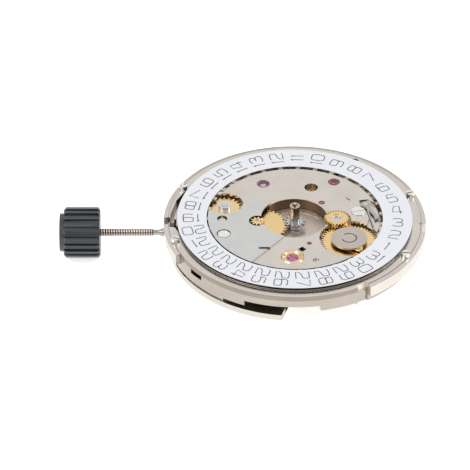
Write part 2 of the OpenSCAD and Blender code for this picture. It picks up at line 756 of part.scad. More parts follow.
// Gilt ring, cap jewel and hole jewel of a shock setting, with its face at the level top
module shock_setting(top) {
    color(gilt) rotate_extrude() polygon([
        [shock_hole_r, top - 0.8], [shock_r, top - 0.8], [shock_r, top - 0.06], [1.05, top + 0.04],
        [0.92, top + 0.04], [0.78, top - 0.12], [0.62, top - 0.12], [0.62, top - 0.5],
        [shock_hole_r, top - 0.5]
    ]);
    color(pink) rotate_extrude() polygon([
        [0, top - 0.24], [0.61, top - 0.24], [0.61, top - 0.14], [0.4, top - 0.06], [0, top - 0.02]
    ]);
    color(ruby) jewel(top - 0.3, 0.61, 0.19, small_pivot_r + pivot_gap);
}

module lower_shock_setting() at(balance_at) shock_setting(z_platform);

// Thinner setting in the balance cock, with a collar that the regulator turns on
module cock_shock_setting() {
    top = -z_cock_end;
    color(gilt) at(balance_at) mirror([0, 0, 1]) rotate_extrude() polygon([
        [shock_hole_r, top - cock_t], [shock_r, top - cock_t], [shock_r, top + 0.12], [0.9, top + 0.12],
        [0.76, top - 0.06], [0.62, top - 0.06], [0.62, top - cock_t + 0.06],
        [shock_hole_r, top - cock_t + 0.06]
    ]);
    color(ruby) at(balance_at) jewel_below(z_cock_end + 0.1, 0.61, cock_t - 0.17, small_pivot_r + pivot_gap);
}

// Keyless works

module setting_lever() {
    pin = [-stem_groove_x, -0.15];
    color("#aaa8a4") difference() {
        union() {
            translate([0, 0, z_lever - key_t]) linear_extrude(key_t) {
                bar(lever_at, pin, 0.55, 0.2);
                bar(lever_at, [-10.1, 1.9], 0.5, 0.2);
            }
            at(pin) rod(z_lever, z_stem + stem_groove_r + 0.05, 0.12);
        }
        at(lever_at) rod(1, z_key - 1, 0.25 + bush_gap);
    }
}

module setting_lever_jumper() {
    color("#b4b2ae") difference() {
        translate([0, 0, z_lever + run_gap]) linear_extrude(0.12) {
            bar(lever_screw_at, [-10.35, 2.6], 0.55, 0.16);
            bar([-10.35, 2.6], [-10.4, 1.2], 0.16, 0.08);
        }
        at(lever_screw_at) rod(1, z_key - 1, screw_r * 0.7 + 0.02);
    }
}

module yoke() {
    pin = [-sliding_groove_x, 0];
    color("#aaa8a4") difference() {
        union() {
            translate([0, 0, z_lever - key_t]) linear_extrude(key_t) {
                bar(yoke_at, pin, 0.5, 0.2);
                bar(yoke_at, [-10.6, -2.3], 0.2, 0.07);
            }
            at(pin) rod(z_lever, z_stem + sliding_groove_r + 0.05, 0.11);
        }
        at(yoke_at) rod(1, z_key - 1, 0.25 + bush_gap);
    }
}

stem_groove_x = 11.55;
stem_groove_w = 0.42;
stem_groove_r = 0.3;
stem_body_r = 0.42;
square_w = 0.58;
sliding_x = 9.8;
sliding_len = 1.3;
sliding_groove_x = 9.1;
sliding_groove_w = 0.34;
sliding_groove_r = 0.52;
winding_x = 11.15;
winding_tooth_len = 0.78;
winding_hub_len = 0.4;
knob_x = 19.26;

// Draws along the stem: x is the distance from the hand axis, and the piece runs inwards
module along_stem(x) translate([-x, 0, z_stem]) rotate([0, 90, 0]) children();

// Crown of axial teeth on the end of a pinion
module crown_teeth(n, r, bore, h) {
    for (i = [0 : n - 1]) rotate([0, 0, i * 360 / n])
        translate([bore, -0.05, 0]) cube([r - bore, 0.1, h]);
}

module winding_stem() {
    groove_start = stem_groove_x + stem_groove_w / 2;
    color("#a9a6a2") union() {
        along_stem(knob_x) cylinder(r = stem_r, h = knob_x - 13.98);
        along_stem(13.98) cylinder(r = stem_r - 0.06, h = 0.5);
        along_stem(13.48) cylinder(r1 = stem_r - 0.06, r2 = stem_shoulder_r, h = 0.56);
        along_stem(12.92) cylinder(r = stem_shoulder_r, h = 12.92 - groove_start);
        along_stem(groove_start) cylinder(r = stem_groove_r, h = stem_groove_w);
        along_stem(groove_start - stem_groove_w)
            cylinder(r = stem_body_r, h = groove_start - stem_groove_w - 9.95);
        along_stem(9.95) translate([-square_w / 2, -square_w / 2, 0]) cube([square_w, square_w, 2.1]);
        along_stem(7.85) cylinder(r = 0.22, h = 0.8);
    }
}

module setting_knob() {
    chamfer = 0.2;
    body_r = knob_r - knob_groove;
    rib_w = 3.1416 * knob_r / knob_ribs;
    color("#24272e") difference() {
        union() {
            along_stem(knob_x + knob_len) linear_extrude(knob_len) {
                circle(body_r);
                for (i = [0 : knob_ribs - 1]) rotate(i * 360 / knob_ribs)
                    translate([body_r - 0.3, -rib_w / 2]) square([knob_groove + 0.3, rib_w]);
            }
            along_stem(knob_x + knob_len + knob_disc_t) cylinder(r = knob_disc_r, h = knob_disc_t + 0.1);
        }
        // Chamfer of both ends
        for (side = [0, 1]) translate([-knob_x - side * knob_len, 0, z_stem])
            mirror([side, 0, 0]) rotate([0, 90, 0]) rotate_extrude()
                polygon([[knob_r - chamfer, 0.001], [knob_r + 1, -chamfer - 1], [knob_r + 1, 0.001]]);
    }
}

module sliding_pinion() {
    inner_x = sliding_x - sliding_len;
    color("#b9b6b2") difference() {
        union() {
            along_stem(sliding_x) cylinder(r = sliding_r, h = sliding_x - sliding_groove_x - 0.17);
            along_stem(sliding_x) cylinder(r = sliding_groove_r, h = sliding_len);
            along_stem(sliding_groove_x - 0.17)
                cylinder(r = sliding_r, h = sliding_groove_x - 0.17 - inner_x);
            along_stem(inner_x) crown_teeth(12, sliding_r, 0.45, 0.12);
            along_stem(sliding_x + 0.1) crown_teeth(12, sliding_r - 0.03, 0.45, 0.11);
        }
        along_stem(sliding_x + 1)
            translate([-square_w / 2 - 0.02, -square_w / 2 - 0.02, 0])
                cube([square_w + 0.04, square_w + 0.04, sliding_len + 2]);
    }
}

module winding_pinion() {
    hub_x = winding_x - winding_tooth_len;
    color("#b9b6b2") difference() {
        union() {
            along_stem(winding_x) linear_extrude(winding_tooth_len)
                toothed(winding_n, winding_pr, winding_tip_r - winding_pr, 0.12, 0, 0.22, 0.5);
            along_stem(hub_x + 0.01) cylinder(r = sliding_r - 0.05, h = winding_hub_len + 0.01);
            along_stem(hub_x - winding_hub_len) crown_teeth(12, sliding_r - 0.05, 0.48, 0.05);
        }
        along_stem(winding_x + 1) cylinder(r = stem_body_r + 0.02, h = 4);
    }
}

// Barrel

drum_wall_r = barrel_pr - 0.6;
drum_inner_r = drum_wall_r - 0.16;
spring_t = 0.09;

module barrel_drum() {
    color(gilt) at(barrel_at) difference() {
        union() {
            gear(barrel_n, barrel_pr, z_barrel - 0.06, 0.24, barrel_turn);
            rod(z_barrel, z_barrel_end, drum_wall_r);
        }
        rod(z_barrel + 1, z_barrel_end + 0.08, drum_inner_r);
        rod(z_barrel + 1, z_barrel_end - 1, barrel_boss_r + bush_gap);
    }
}

module barrel_cover() {
    color("#d9bd80") at(barrel_at) tube(z_barrel, z_barrel - 0.08, drum_inner_r, barrel_boss_r + bush_gap);
}

module barrel_arbor() {
    color(steel) at(barrel_at) difference() {
        union() {
            arbor([
                [z_pivot, z_floor - 0.01, barrel_pivot_r],
                [z_floor - 0.01, z_barrel - 0.1, barrel_boss_r],
                [z_barrel - 0.1, z_barrel_end + 0.1, barrel_core_r],
                [z_barrel_end + 0.1, z_wind, barrel_boss_r]
            ]);
            rotate([0, 0, ratchet_turn]) translate([-0.4, -0.4, z_ratchet_face])
                cube([0.8, 0.8, z_wind - z_ratchet_face + 0.01]);
        }
        rod(z_wind_end + 0.7, z_wind_end - 1, screw_r * 0.8);
    }
}

// A flat spiral strip between two radii, w wide
module spiral_strip(r1, r2, turns, w, start = 0) {
    steps = turns * 20;
    function at_step(i, side) =
        let (a = start + i * 18, r = r1 + (r2 - r1) * i / steps + side * w / 2) r * [cos(a), sin(a)];
    polygon(concat(
        [for (i = [0 : steps]) at_step(i, 1)],
        [for (i = [steps : -1 : 0]) at_step(i, -1)]
    ));
}

module mainspring() {
    color("#8f96a0") at(barrel_at, z_barrel_end + 0.12) linear_extrude(barrel_h - 0.24)
        spiral_strip(barrel_core_r + 0.12, drum_inner_r - 0.08, 10, spring_t);
}

// Going train

module centre_wheel() {
    color(gilt) difference() {
        union() {
            rod(cannon_top - 0.3, z_centre - wheel_t - 0.02, tube_r);
            gear(centre_pinion_n, centre_pinion_pr, z_barrel, barrel_h - 0.02, centre_pinion_turn, 0.6);
            spoked(centre_n, centre_pr, z_centre, wheel_t, centre_turn, 0.3, 0.8, 5, 0.3);
            rod(z_barrel_end, z_centre - wheel_t, 0.8);
        }
        rod(cannon_top + 1, z_back, tube_bore_r);
    }
}

module third_wheel() {
    color(gilt) at(third_at) union() {
        arbor([
            [z_pivot, z_jewel - jewel_t - 0.02, pivot_r],
            [z_jewel - jewel_t - 0.02, z_seat + 0.01, arbor_r],
            [z_seat + 0.01, z_seat - 0.2, pivot_r]
        ]);
        gear(third_pinion_n, third_pinion_pr, z_centre + 0.03, wheel_t + 0.05, third_pinion_turn, 0.6);
        spoked(third_n, third_pr, z_third, wheel_t, third_turn, 0.26, 0.45, 5, 0.26);
    }
}

module seconds_wheel() {
    color(gilt) union() {
        arbor([
            [seconds_top, cannon_top, seconds_r],
            [cannon_top + 0.01, z_centre - wheel_t - run_gap, seconds_r - 0.01],
            [z_centre - wheel_t - run_gap, z_seat + 0.01, 0.2],
            [z_seat + 0.01, z_seat - 0.2, pivot_r]
        ]);
        gear(seconds_pinion_n, seconds_pinion_pr, z_seconds - wheel_t, wheel_t + run_gap + 0.02,
            seconds_pinion_turn, 0.6);
        spoked(seconds_n, seconds_pr, z_seconds, wheel_t, seconds_turn, 0.26, 0.45, 4, 0.24);
    }
}

// Outline of the escape wheel: club teeth that lean forward
module escape_outline() {
    step = 360 / escape_n;
    corners = [[0, -0.62], [0.36, -0.02], [0.42, 0], [0.58, -0.08], [0.52, -0.2], [0.4, -0.62]];
    difference() {
        polygon([
            for (i = [0 : escape_n - 1]) for (c = corners)
                let (a = (i + c[0]) * step) (escape_r + c[1]) * [cos(a), sin(a)]
        ]);
        windows(escape_r - 0.85, 0.4, 4, 0.16);
    }
}

module escape_wheel() {
    color("#cfc6b2") at(escape_at) union() {
        arbor([
            [z_platform - 0.95, z_floor + 0.06, small_pivot_r],
            [z_floor + 0.06, z_seat + 0.01, arbor_r],
            [z_seat + 0.01, z_seat - 0.2, small_pivot_r]
        ]);
        translate([0, 0, z_escape_end]) linear_extrude(escape_t) rotate(9) escape_outline();
        gear(escape_pinion_n, escape_pinion_pr, z_seconds + 0.02, wheel_t + 0.05, escape_pinion_turn, 0.6);
    }
}

// Pallet fork. Its arms open to the escape wheel, and its lever points to the balance
to_escape = way(pallet_at, escape_at);
to_balance = way(pallet_at, balance_at);
stone_turn = [63, -63];
function stone_tip(a) = pallet_at + 1.25 * [cos(to_escape + a), sin(to_escape + a)];
function stone_way(a) = way(stone_tip(a), escape_at);
function stone_seat(a) = stone_tip(a) - 0.3 * [cos(stone_way(a)), sin(stone_way(a))];
fork_len = norm(balance_at - pallet_at) - roller_r + 0.12;

module pallet_fork() {
    color(steel) at(pallet_at) difference() {
        union() {
            arbor([
                [z_pivot, z_jewel - jewel_t - 0.02, small_pivot_r],
                [z_jewel - jewel_t - 0.02, z_pallet_cock + 0.02, 0.11],
                [z_pallet_cock + 0.02, z_pallet_cock - pallet_cock_t + 0.02, small_pivot_r]
            ]);
            translate([0, 0, z_escape_end]) linear_extrude(escape_t - 0.02) {
                circle(0.3);
                for (a = stone_turn) bar([0, 0], stone_seat(a) - pallet_at, 0.14, 0.2);
                bar([0, 0], (fork_len - 0.3) * [cos(to_balance), sin(to_balance)], 0.16, 0.1);
                rotate(to_balance) difference() {
                    translate([fork_len - 0.55, -0.28]) square([0.55, 0.56]);
                    translate([fork_len - 0.3, -0.1]) square([1, 0.2]);
                    translate([fork_len + 0.35, 0]) circle(0.5);
                }
            }
        }
        for (a = stone_turn) at(-pallet_at) stone_space(a);
    }
}

// Space that a pallet stone is set in
module stone_space(a) {
    at(stone_tip(a), z_escape_end - 0.03) rotate([0, 0, stone_way(a)])
        translate([-0.42, -0.08, 0]) cube([0.42, 0.16, escape_t + 0.04]);
}

module pallet_stones() color(ruby) for (a = stone_turn) stone_space(a);

module pallet_cock() {
    color(nickel) difference() {
        translate([0, 0, z_pallet_cock - pallet_cock_t]) linear_extrude(pallet_cock_t)
            bar(pallet_at, pallet_foot_at, 0.5, screw_head_r + 0.05);
        at(pallet_at) rod(1, z_seat, pallet_jewel_r);
        at(pallet_foot_at) rod(1, z_seat, screw_r * 0.7 + 0.02);
    }
}

// Balance

module balance_wheel() {
    color("#d8c08a") at(balance_at) union() {
        tube(z_balance, z_balance - balance_rim_h, balance_r, balance_r - balance_rim_w);
        difference() {
            translate([0, 0, z_balance - balance_rim_h + 0.06]) linear_extrude(0.12) {
                circle(0.6);
                for (k = [0 : 2]) rotate(k * 120 + 30) translate([0, -0.16])
                    square([balance_r - balance_rim_w / 2, 0.32]);
            }
            rod(1, z_back - 1, 0.3);
        }
    }
}

module balance_staff() {
    color(steel) at(balance_at) arbor([
        [z_platform - 0.34, z_platform - 0.55, small_pivot_r],
        [z_platform - 0.55, z_roller, 0.16],
        [z_roller, z_roller - roller_t, roller_r],
        [z_roller - roller_t, z_balance, 0.22],
        [z_balance, z_hairspring + 0.04, 0.3],
        [z_hairspring + 0.04, z_hairspring - hairspring_h - 0.02, 0.42],
        [z_hairspring - hairspring_h - 0.02, z_cock - 0.02, 0.16],
        [z_cock - 0.02, z_cock_end + 0.12, small_pivot_r]
    ]);
}

module impulse_jewel() {
    color(ruby) at(balance_at) rotate([0, 0, to_balance + 180])
        at([roller_r - 0.13, 0]) rod(z_escape_end - 0.02, z_roller, 0.06);
}

module hairspring() {
    color("#5d6c86") at(balance_at, z_hairspring - hairspring_h) linear_extrude(hairspring_h)
        spiral_strip(0.52, stud_r, 9, hairspring_w, stud_turn);
}

stud_r = 2.6;
stud_w = 0.12;
stud_turn = 205;
stud_pin_r = stud_r + hairspring_w / 2 + stud_w;

module hairspring_stud() {
    color(steel) at(balance_at) rotate([0, 0, stud_turn])
        at([stud_pin_r, 0]) rod(z_hairspring + 0.02, z_cock_end + 0.02, stud_w);
}

module regulator() {
    color(steel) at(balance_at) translate([0, 0, z_cock_end - 0.12]) linear_extrude(0.1) difference() {
        union() {
            circle(shock_r + 0.45);
            rotate(205) translate([0, -0.16]) square([3, 0.32]);
            rotate(25) translate([0, -0.12]) square([2.3, 0.24]);
        }
        circle(shock_r + 0.02);
    }
}

module cock_outline() {
    intersection() {
        circle(bridge_r);
        union() {
            bar(balance_at, cock_foot_at + [1, 0.2], 1.75, 1.9);
            polygon([[-5.4, -5.4], [-9, -5.15], [-13, -7], [-9.6, -12], [-6, -9.2], [-5.4, -7.5]]);
        }
    }
}

module balance_cock() {
    color(nickel) difference() {
        union() {
            translate([0, 0, z_cock_end]) linear_extrude(cock_t) intersection() {
                cock_outline();
                circle(bridge_step_r);
            }
            translate([0, 0, z_bridge_step]) linear_extrude(z_seat - z_bridge_step) cock_foot();
            translate([0, 0, z_cock - 0.01]) linear_extrude(z_seat - z_cock) intersection() {
                cock_foot();
                circle(bridge_step_r);
            }
        }
        at(balance_at) rod(1, z_last - 1, shock_r);
        at(cock_foot_at) rod(1, z_last - 1, screw_r + 0.02);
        at(cock_foot_at) rod(z_cock_end + screw_head_t, z_last - 1, screw_head_r + 0.02);
        at(balance_at) rotate([0, 0, stud_turn]) at([stud_pin_r, 0]) rod(1, z_last - 1, stud_w);
    }
}

// Foot of the balance cock: the part of its outline that lies clear of the balance
module cock_foot() {
    difference() {
        cock_outline();
        translate(balance_at) circle(balance_r + 0.2);
    }
}

// Bridges

// Line between the two bridges: the train bridge lies to its right
split = [[3.2, 12.6], [2.4, 9.6], [0.8, 8.2], [0.8, 4.6], [0.2, 3.9], [0.2, 2.6], [-2.3, 1.5], [-2.5, -2.2]];

module train_outline() {
    difference() {
        intersection() {
            circle(bridge_r);
            polygon(concat(split, [[0, -2.2], [6.5, -6.5], [13, -7.5], [13, 12.6]]));
        }
        translate(balance_at) circle(balance_r + 0.25);
    }
}

module barrel_outline() {
    gap = [-0.08, 0];
    difference() {
        intersection() {
            circle(bridge_r);
            polygon(concat([for (p = split) p + gap], [[-5, -2.9], [-8, -4.6], [-13, -6], [-13, 12.6]]));
        }
        translate(balance_at) circle(balance_r + 0.25);
    }
}

// A bridge: full thickness inside the rotor weight's way, thinner outside it
module bridge_body() {
    translate([0, 0, z_bridge_step]) linear_extrude(z_seat - z_bridge_step) children();
    translate([0, 0, z_back]) linear_extrude(bridge_t) intersection() {
        children();
        circle(bridge_step_r);
    }
}

// Seat of a bridge screw: clear hole and sunk head
module screw_seat(p) {
    at(p) rod(1, z_last - 1, screw_r + 0.02);
    at(p) rod(z_back + screw_head_t, z_last - 1, screw_head_r + 0.02);
}

module train_bridge() {
    color(nickel) difference() {
        bridge_body() train_outline();
        for (i = [3 : 5]) screw_seat(bridge_screws_at[i]);
        for (p = auto_feet_at) at(p) rod(z_back + 0.25, z_last, screw_r * 0.7);
        for (p = [centre, third_at, escape_at]) at(p) rod(1, z_last, train_jewel_r);
        at(reduction_at) rod(1, z_last, arbor_r + arbor_gap);
        at(reduction_at) rod(z_wind_floor, z_last, reduction_pr + 0.2);
        at(barrel_at) rod(z_wind_floor, z_last, ratchet_pr + 0.2);
        for (p = [reverser_a_at, reverser_b_at]) {
            at(p) rod(z_wind_floor, z_last, rev_pinion_pr + 0.1);
            at(p) rod(z_seat - 0.04, z_last, pivot_r + pivot_gap);
        }
    }
}

module barrel_bridge() {
    color(nickel) difference() {
        bridge_body() barrel_outline();
        for (i = [0 : 2]) screw_seat(bridge_screws_at[i]);
        at(barrel_at) rod(1, z_last, barrel_boss_r + bush_gap);
        at(barrel_at) rod(z_wind_floor, z_last, ratchet_pr + 0.2);
        at(reduction_at) rod(z_wind_floor, z_last, reduction_pr + 0.2);
        at(crown_at) rod(z_wind_floor, z_last, crown_pr + 0.2);
        at(crown_at) rod(z_seat - 0.05, z_last, screw_r);
        at(click_at) rod(z_seat - 0.05, z_last, screw_r * 0.7);
        // Way of the pinions on the stem
        along_stem(winding_x + 0.15) cylinder(r = winding_tip_r + 0.08, h = winding_tooth_len + 0.3);
        along_stem(winding_x - 0.3) cylinder(r = sliding_r + 0.08, h = 3.1);
    }
}

module bridge_side_jewels() {
    color(ruby) {
        for (p = [centre, third_at]) at(p) jewel_below(z_back + 0.04, train_jewel_r, 0.27, pivot_r + pivot_gap);
        at(escape_at) jewel_below(z_back + 0.04, train_jewel_r, 0.27, small_pivot_r + pivot_gap);
        at(pallet_at) jewel_below(z_pallet_cock - pallet_cock_t, pallet_jewel_r, pallet_cock_t,
            small_pivot_r + pivot_gap);
        at(reduction_at) jewel_below(z_auto_end, 0.4, auto_t, pivot_r + pivot_gap);
        for (p = [reverser_a_at, reverser_b_at]) at(p) jewel_below(z_auto_end, 0.4, auto_t, arbor_r + pivot_gap);
    }
}

module bridge_screws() {
    small = screw_r * 0.7;
    color("#9fa3ad") {
        for (i = [0 : 5]) at(bridge_screws_at[i])
            screw_below(z_back, screw_head_r, screw_head_t, screw_r, bridge_t - screw_head_t + 0.6, 37 * i);
        at(cock_foot_at) screw_below(z_cock_end, screw_head_r, screw_head_t, screw_r,
            z_seat - z_cock_end - screw_head_t + 0.6, 20);
        at(pallet_foot_at) screw_below(z_pallet_cock - pallet_cock_t - 0.1, 0.4, 0.1, small,
            pallet_cock_t + 0.6, 75);
        for (p = auto_feet_at) at(p) screw_below(z_auto_end, 0.42, 0.1, small, z_back - z_auto + auto_t + 0.1, 50);
        at(click_at) screw_below(z_back - 0.24, 0.42, 0.1, small, 0.4, 110);
        crown_core();
    }
}

// Screw that the crown wheel turns on
module crown_core() at(crown_at) difference() {
    union() {
        rod(z_wind_floor, z_wind_end + 0.06 - run_gap, 0.8);
        rod(z_wind_end + 0.06 - run_gap, z_wind_end - 0.1, 1.2);
        rod(z_seat - 0.06, z_wind_floor, screw_r);
    }
    rotate([0, 0, 28]) translate([-2, -slot_w / 2, z_wind_end - 1.05]) cube([4, slot_w, 1]);
}

// Winding works on the bridges

module ratchet_wheel() {
    color("#c8c6c2") at(barrel_at) difference() {
        gear(ratchet_n, ratchet_pr, z_wind, wind_t, ratchet_turn);
        rotate([0, 0, ratchet_turn]) translate([-0.42, -0.42, z_wind_end - 1]) cube([0.84, 0.84, 3]);
        rod(z_ratchet_face, z_last, 1.1);
    }
}

module ratchet_screw() {
    color("#9fa3ad") at(barrel_at)
        screw_below(z_ratchet_face - 0.14, 1, 0.14, screw_r * 0.8, 0.55, 65);
}

module crown_wheel() {
    color("#c8c6c2") at(crown_at) difference() {
        gear(crown_n, crown_pr, z_wind, wind_t, crown_turn);
        rod(1, z_last, 0.8 + bush_gap);
        rod(z_wind_end + 0.06, z_last, 1.5);
    }
}

module click() {
    beak = barrel_at + (ratchet_pr + 0.16) * [cos(143), sin(143)];
    color("#b0aeaa") difference() {
        translate([0, 0, z_back - 0.13]) linear_extrude(0.11) {
            bar(click_at, beak, 0.55, 0.06);
            bar(click_at, [-9.1, 5.6], 0.2, 0.06);
        }
        at(click_at) rod(1, z_last, screw_r * 0.7 + bush_gap);
    }
}

// Automatic works

module automatic_bridge() {
    color(nickel) difference() {
        union() {
            translate([0, 0, z_auto_end]) linear_extrude(auto_t) {
                circle(1.75);
                for (p = [reverser_a_at, reverser_b_at, reduction_at]) translate(p) circle(0.78);
                for (p = auto_feet_at) translate(p) circle(0.76);
                link(centre, reverser_a_at, 0.6);
                link(reverser_a_at, reduction_at, 0.5);
                link(reduction_at, reverser_b_at, 0.5);
                link(centre, reverser_b_at, 0.6);
                link(reverser_b_at, auto_feet_at[0], 0.5);
                link(auto_feet_at[0], auto_feet_at[2], 0.45);
                link(centre, auto_feet_at[1], 0.6);
            }
            for (p = auto_feet_at) at(p) rod(z_back, z_auto - 0.05, 0.7);
        }
        for (p = auto_feet_at) {
            at(p) rod(1, z_last, screw_r * 0.7 + 0.02);
            at(p) rod(z_auto_end + 0.1, z_last, 0.44);
        }
        for (p = [reverser_a_at, reverser_b_at, reduction_at]) at(p) rod(1, z_last, 0.4);
        rod(1, z_last, screw_r);
    }
}

module reduction_wheel() {
    color(gilt) at(reduction_at) union() {
        arbor([
            [z_pivot, z_jewel - jewel_t - 0.02, pivot_r],
            [z_jewel - jewel_t - 0.02, z_wind, arbor_r],
            [z_wind, z_wind_end - 0.01, 0.5],
            [z_wind_end - 0.01, z_auto_end + 0.02, pivot_r]
        ]);
        spoked(reduction_n, reduction_pr, z_wind, wind_t, reduction_turn, 0.4, 0.7, 5, 0.34);
    }
}

// Upper wheel of a reverser, with the seats of its two clicks
module reverser(turn) {
    color(gilt) difference() {
        gear(reverser_n, reverser_pr, z_rev, rev_t, turn);
        rod(1, z_last, arbor_r + bush_gap);
        for (k = [0, 1]) rotate([0, 0, turn + 180 * k]) at([0.75, 0]) rod(1, z_last, 0.34);
    }
}

module reversing_wheel_a() at(reverser_a_at) reverser(reverser_a_turn);

module reversing_wheel_b() at(reverser_b_at) reverser(reverser_b_turn);

// Pinion of a reverser, on the arbor that its wheel turns on
module reversing_pinion(turn) {
    color(steel) union() {
        arbor([
            [z_seat - 0.06, z_wind, pivot_r],
            [z_wind, z_rev_end - 0.02, arbor_r]
        ]);
        gear(rev_pinion_n, rev_pinion_pr, z_wind, wind_t, turn, 0.6);
    }
}

module reversing_pinion_a() at(reverser_a_at) reversing_pinion(rev_a_turn);

module reversing_pinion_b() at(reverser_b_at) reversing_pinion(rev_b_turn);

// Rotor

rotor_mid = 160;
race_r = 1.5;
ball_r = 0.18;
ball_ring_r = race_r - ball_r - 0.02;
inner_race_r = ball_ring_r - ball_r - 0.02;
gear_race_r = 1.9;
web_r = rotor_r - 0.3;

// Half disc that the rotor covers, up to the radius r
module rotor_sector(r) {
    spread = rotor_half_angle;
    intersection() {
        circle(r, $fn = 180);
        rotate(rotor_mid) polygon(concat(
            [[-2.6, 0]],
            [for (a = [-spread, -60, -30, 0, 30, 60, spread]) 2 * rotor_r * [cos(a), sin(a)]]
        ));
    }
}

module rotor_weight() {
    color("#b7b4ae") translate([0, 0, z_web]) linear_extrude(rotor_h) difference() {
        rotor_sector(rotor_r);
        circle(rotor_r - rotor_w, $fn = 180);
    }
}

module rotor_web() {
    color("#d5d1ca") translate([0, 0, z_web_end]) linear_extrude(web_t) difference() {
        union() {
            rotor_sector(web_r);
            circle(3);
        }
        circle(gear_race_r);
        for (a = [-62, -31, 0, 31, 62]) rotate(rotor_mid + a) difference() {
            rotate(-11) translate([6.2, 0]) circle(1.1);
            circle(3.6);
        }
    }
}

module rotor_bearing() {
    color(steel) difference() {
        union() {
            rod(z_auto_end, z_last + 0.08, inner_race_r);
            rod(z_last + 0.08, z_last, inner_race_r - 0.15);
            rod(z_auto, z_auto_end, screw_r);
        }
        rotate([0, 0, 15]) translate([-2, -slot_w / 2, z_last - 1]) cube([4, slot_w, 1.06]);
    }
    color("#d8d8dc") for (k = [0 : 6]) rotate([0, 0, k * 360 / 7])
        translate([ball_ring_r, 0, z_rev_end]) sphere(r = ball_r);
}

module rotor_gear() {
    color(steel) difference() {
        union() {
            gear(rotor_n, rotor_pr, z_rev, rev_t, rotor_turn);
            rod(z_rev_end + 0.001, z_web_end, gear_race_r);
        }
        rod(1, z_last - 1, race_r);
    }
}

main_plate();
date_ring();
date_cover_plate();
dial_seat_screws();
dial_side_screws();
date_jumper();
date_driving_wheel();
date_finger_disc();
intermediate_date_wheel();
cannon_pinion();
cannon_spring();
minute_wheel();
dial_side_jewels();
lower_shock_setting();
setting_wheel();
intermediate_setting_wheel();
setting_lever();
setting_lever_jumper();
yoke();
winding_stem();
setting_knob();
sliding_pinion();
winding_pinion();
barrel_drum();
barrel_cover();
barrel_arbor();
mainspring();
centre_wheel();
third_wheel();
seconds_wheel();
escape_wheel();
pallet_fork();
pallet_stones();
pallet_cock();
balance_wheel();
balance_staff();
impulse_jewel();
hairspring();
hairspring_stud();
regulator();
balance_cock();
cock_shock_setting();
train_bridge();
barrel_bridge();
bridge_side_jewels();
bridge_screws();
ratchet_wheel();
ratchet_screw();
crown_wheel();
click();
automatic_bridge();
reduction_wheel();
reversing_wheel_a();
reversing_wheel_b();
reversing_pinion_a();
reversing_pinion_b();
rotor_weight();
rotor_web();
rotor_bearing();
rotor_gear();
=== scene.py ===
# %% [markdown]
# # Self-winding watch movement, dial side up
#
# A watch movement is a plate that carries wheels on both sides. This scene keeps every
# wheel, bridge and screw of the exact model where it is, gives each one the finish of the
# real metal, and adds what only a drawing can hold: the printed numerals of the date ring
# and the thread of the winding stem.

import bpy
import numpy as np
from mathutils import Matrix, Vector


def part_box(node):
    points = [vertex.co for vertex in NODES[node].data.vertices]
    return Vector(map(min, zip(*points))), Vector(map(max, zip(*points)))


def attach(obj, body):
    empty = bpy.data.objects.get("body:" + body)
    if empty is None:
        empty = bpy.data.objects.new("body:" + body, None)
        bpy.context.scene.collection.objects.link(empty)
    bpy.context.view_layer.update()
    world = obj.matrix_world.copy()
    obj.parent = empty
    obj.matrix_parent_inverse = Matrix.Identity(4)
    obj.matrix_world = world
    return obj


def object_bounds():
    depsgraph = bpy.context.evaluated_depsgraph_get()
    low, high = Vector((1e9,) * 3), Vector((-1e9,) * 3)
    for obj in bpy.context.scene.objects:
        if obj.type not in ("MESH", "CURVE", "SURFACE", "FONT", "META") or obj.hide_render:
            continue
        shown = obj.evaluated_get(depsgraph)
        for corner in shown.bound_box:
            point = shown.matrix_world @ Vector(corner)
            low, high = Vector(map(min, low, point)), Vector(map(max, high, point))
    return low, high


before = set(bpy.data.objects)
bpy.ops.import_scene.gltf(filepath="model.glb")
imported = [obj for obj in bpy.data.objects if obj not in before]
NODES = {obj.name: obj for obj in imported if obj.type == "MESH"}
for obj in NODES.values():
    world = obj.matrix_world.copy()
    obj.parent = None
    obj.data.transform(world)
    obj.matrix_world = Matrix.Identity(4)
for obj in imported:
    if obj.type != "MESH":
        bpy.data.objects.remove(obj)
cad_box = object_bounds()
MM = 0.001
UM = 0.001 * MM
print("nodes:", len(NODES), "box in metres:", [list(corner) for corner in cad_box])

# %% [markdown]
# ## Helpers for colour, nodes and meshes
#
# Colours are written as the hex values that a picture shows, because those are easy to
# compare by eye, so one function turns them into the linear values that shaders use. A
# material could be wired by hand, a few lines for each node. One small function adds a
# node with its inputs and links instead, so that a material reads as a list of what feeds
# what. Another function puts arrays of points and faces into a mesh.

# %% Colours
def linear(hex_colour):
    """Linear RGBA of an sRGB hex colour: a straight line near black, and a power above it."""
    srgb = np.array([int(hex_colour[i:i + 2], 16) for i in (1, 3, 5)]) / 255
    curve = np.where(srgb > 0.04045, ((srgb + 0.055) / 1.055) ** 2.4, srgb / 12.92)
    return (*(float(c) for c in curve), 1.0)


print("the grey #808080 is linear", round(linear("#808080")[0], 3))

# %% Nodes
COLOUR_A, COLOUR_B, COLOUR_OUT = 6, 7, 2  # the colour sockets of a Mix node
NUMBER_A, NUMBER_B, NUMBER_OUT = 2, 3, 0  # its number sockets


def add(tree, kind, inputs=(), **settings):
    """One node of that kind: inputs holds (socket, value or link) pairs, settings its options."""
    made = tree.nodes.new("ShaderNode" + kind)
    for name, value in settings.items():
        setattr(made, name, value)
    for socket, value in dict(inputs).items():
        if isinstance(value, bpy.types.NodeSocket):
            tree.links.new(value, made.inputs[socket])
        else:
            made.inputs[socket].default_value = value
    return made


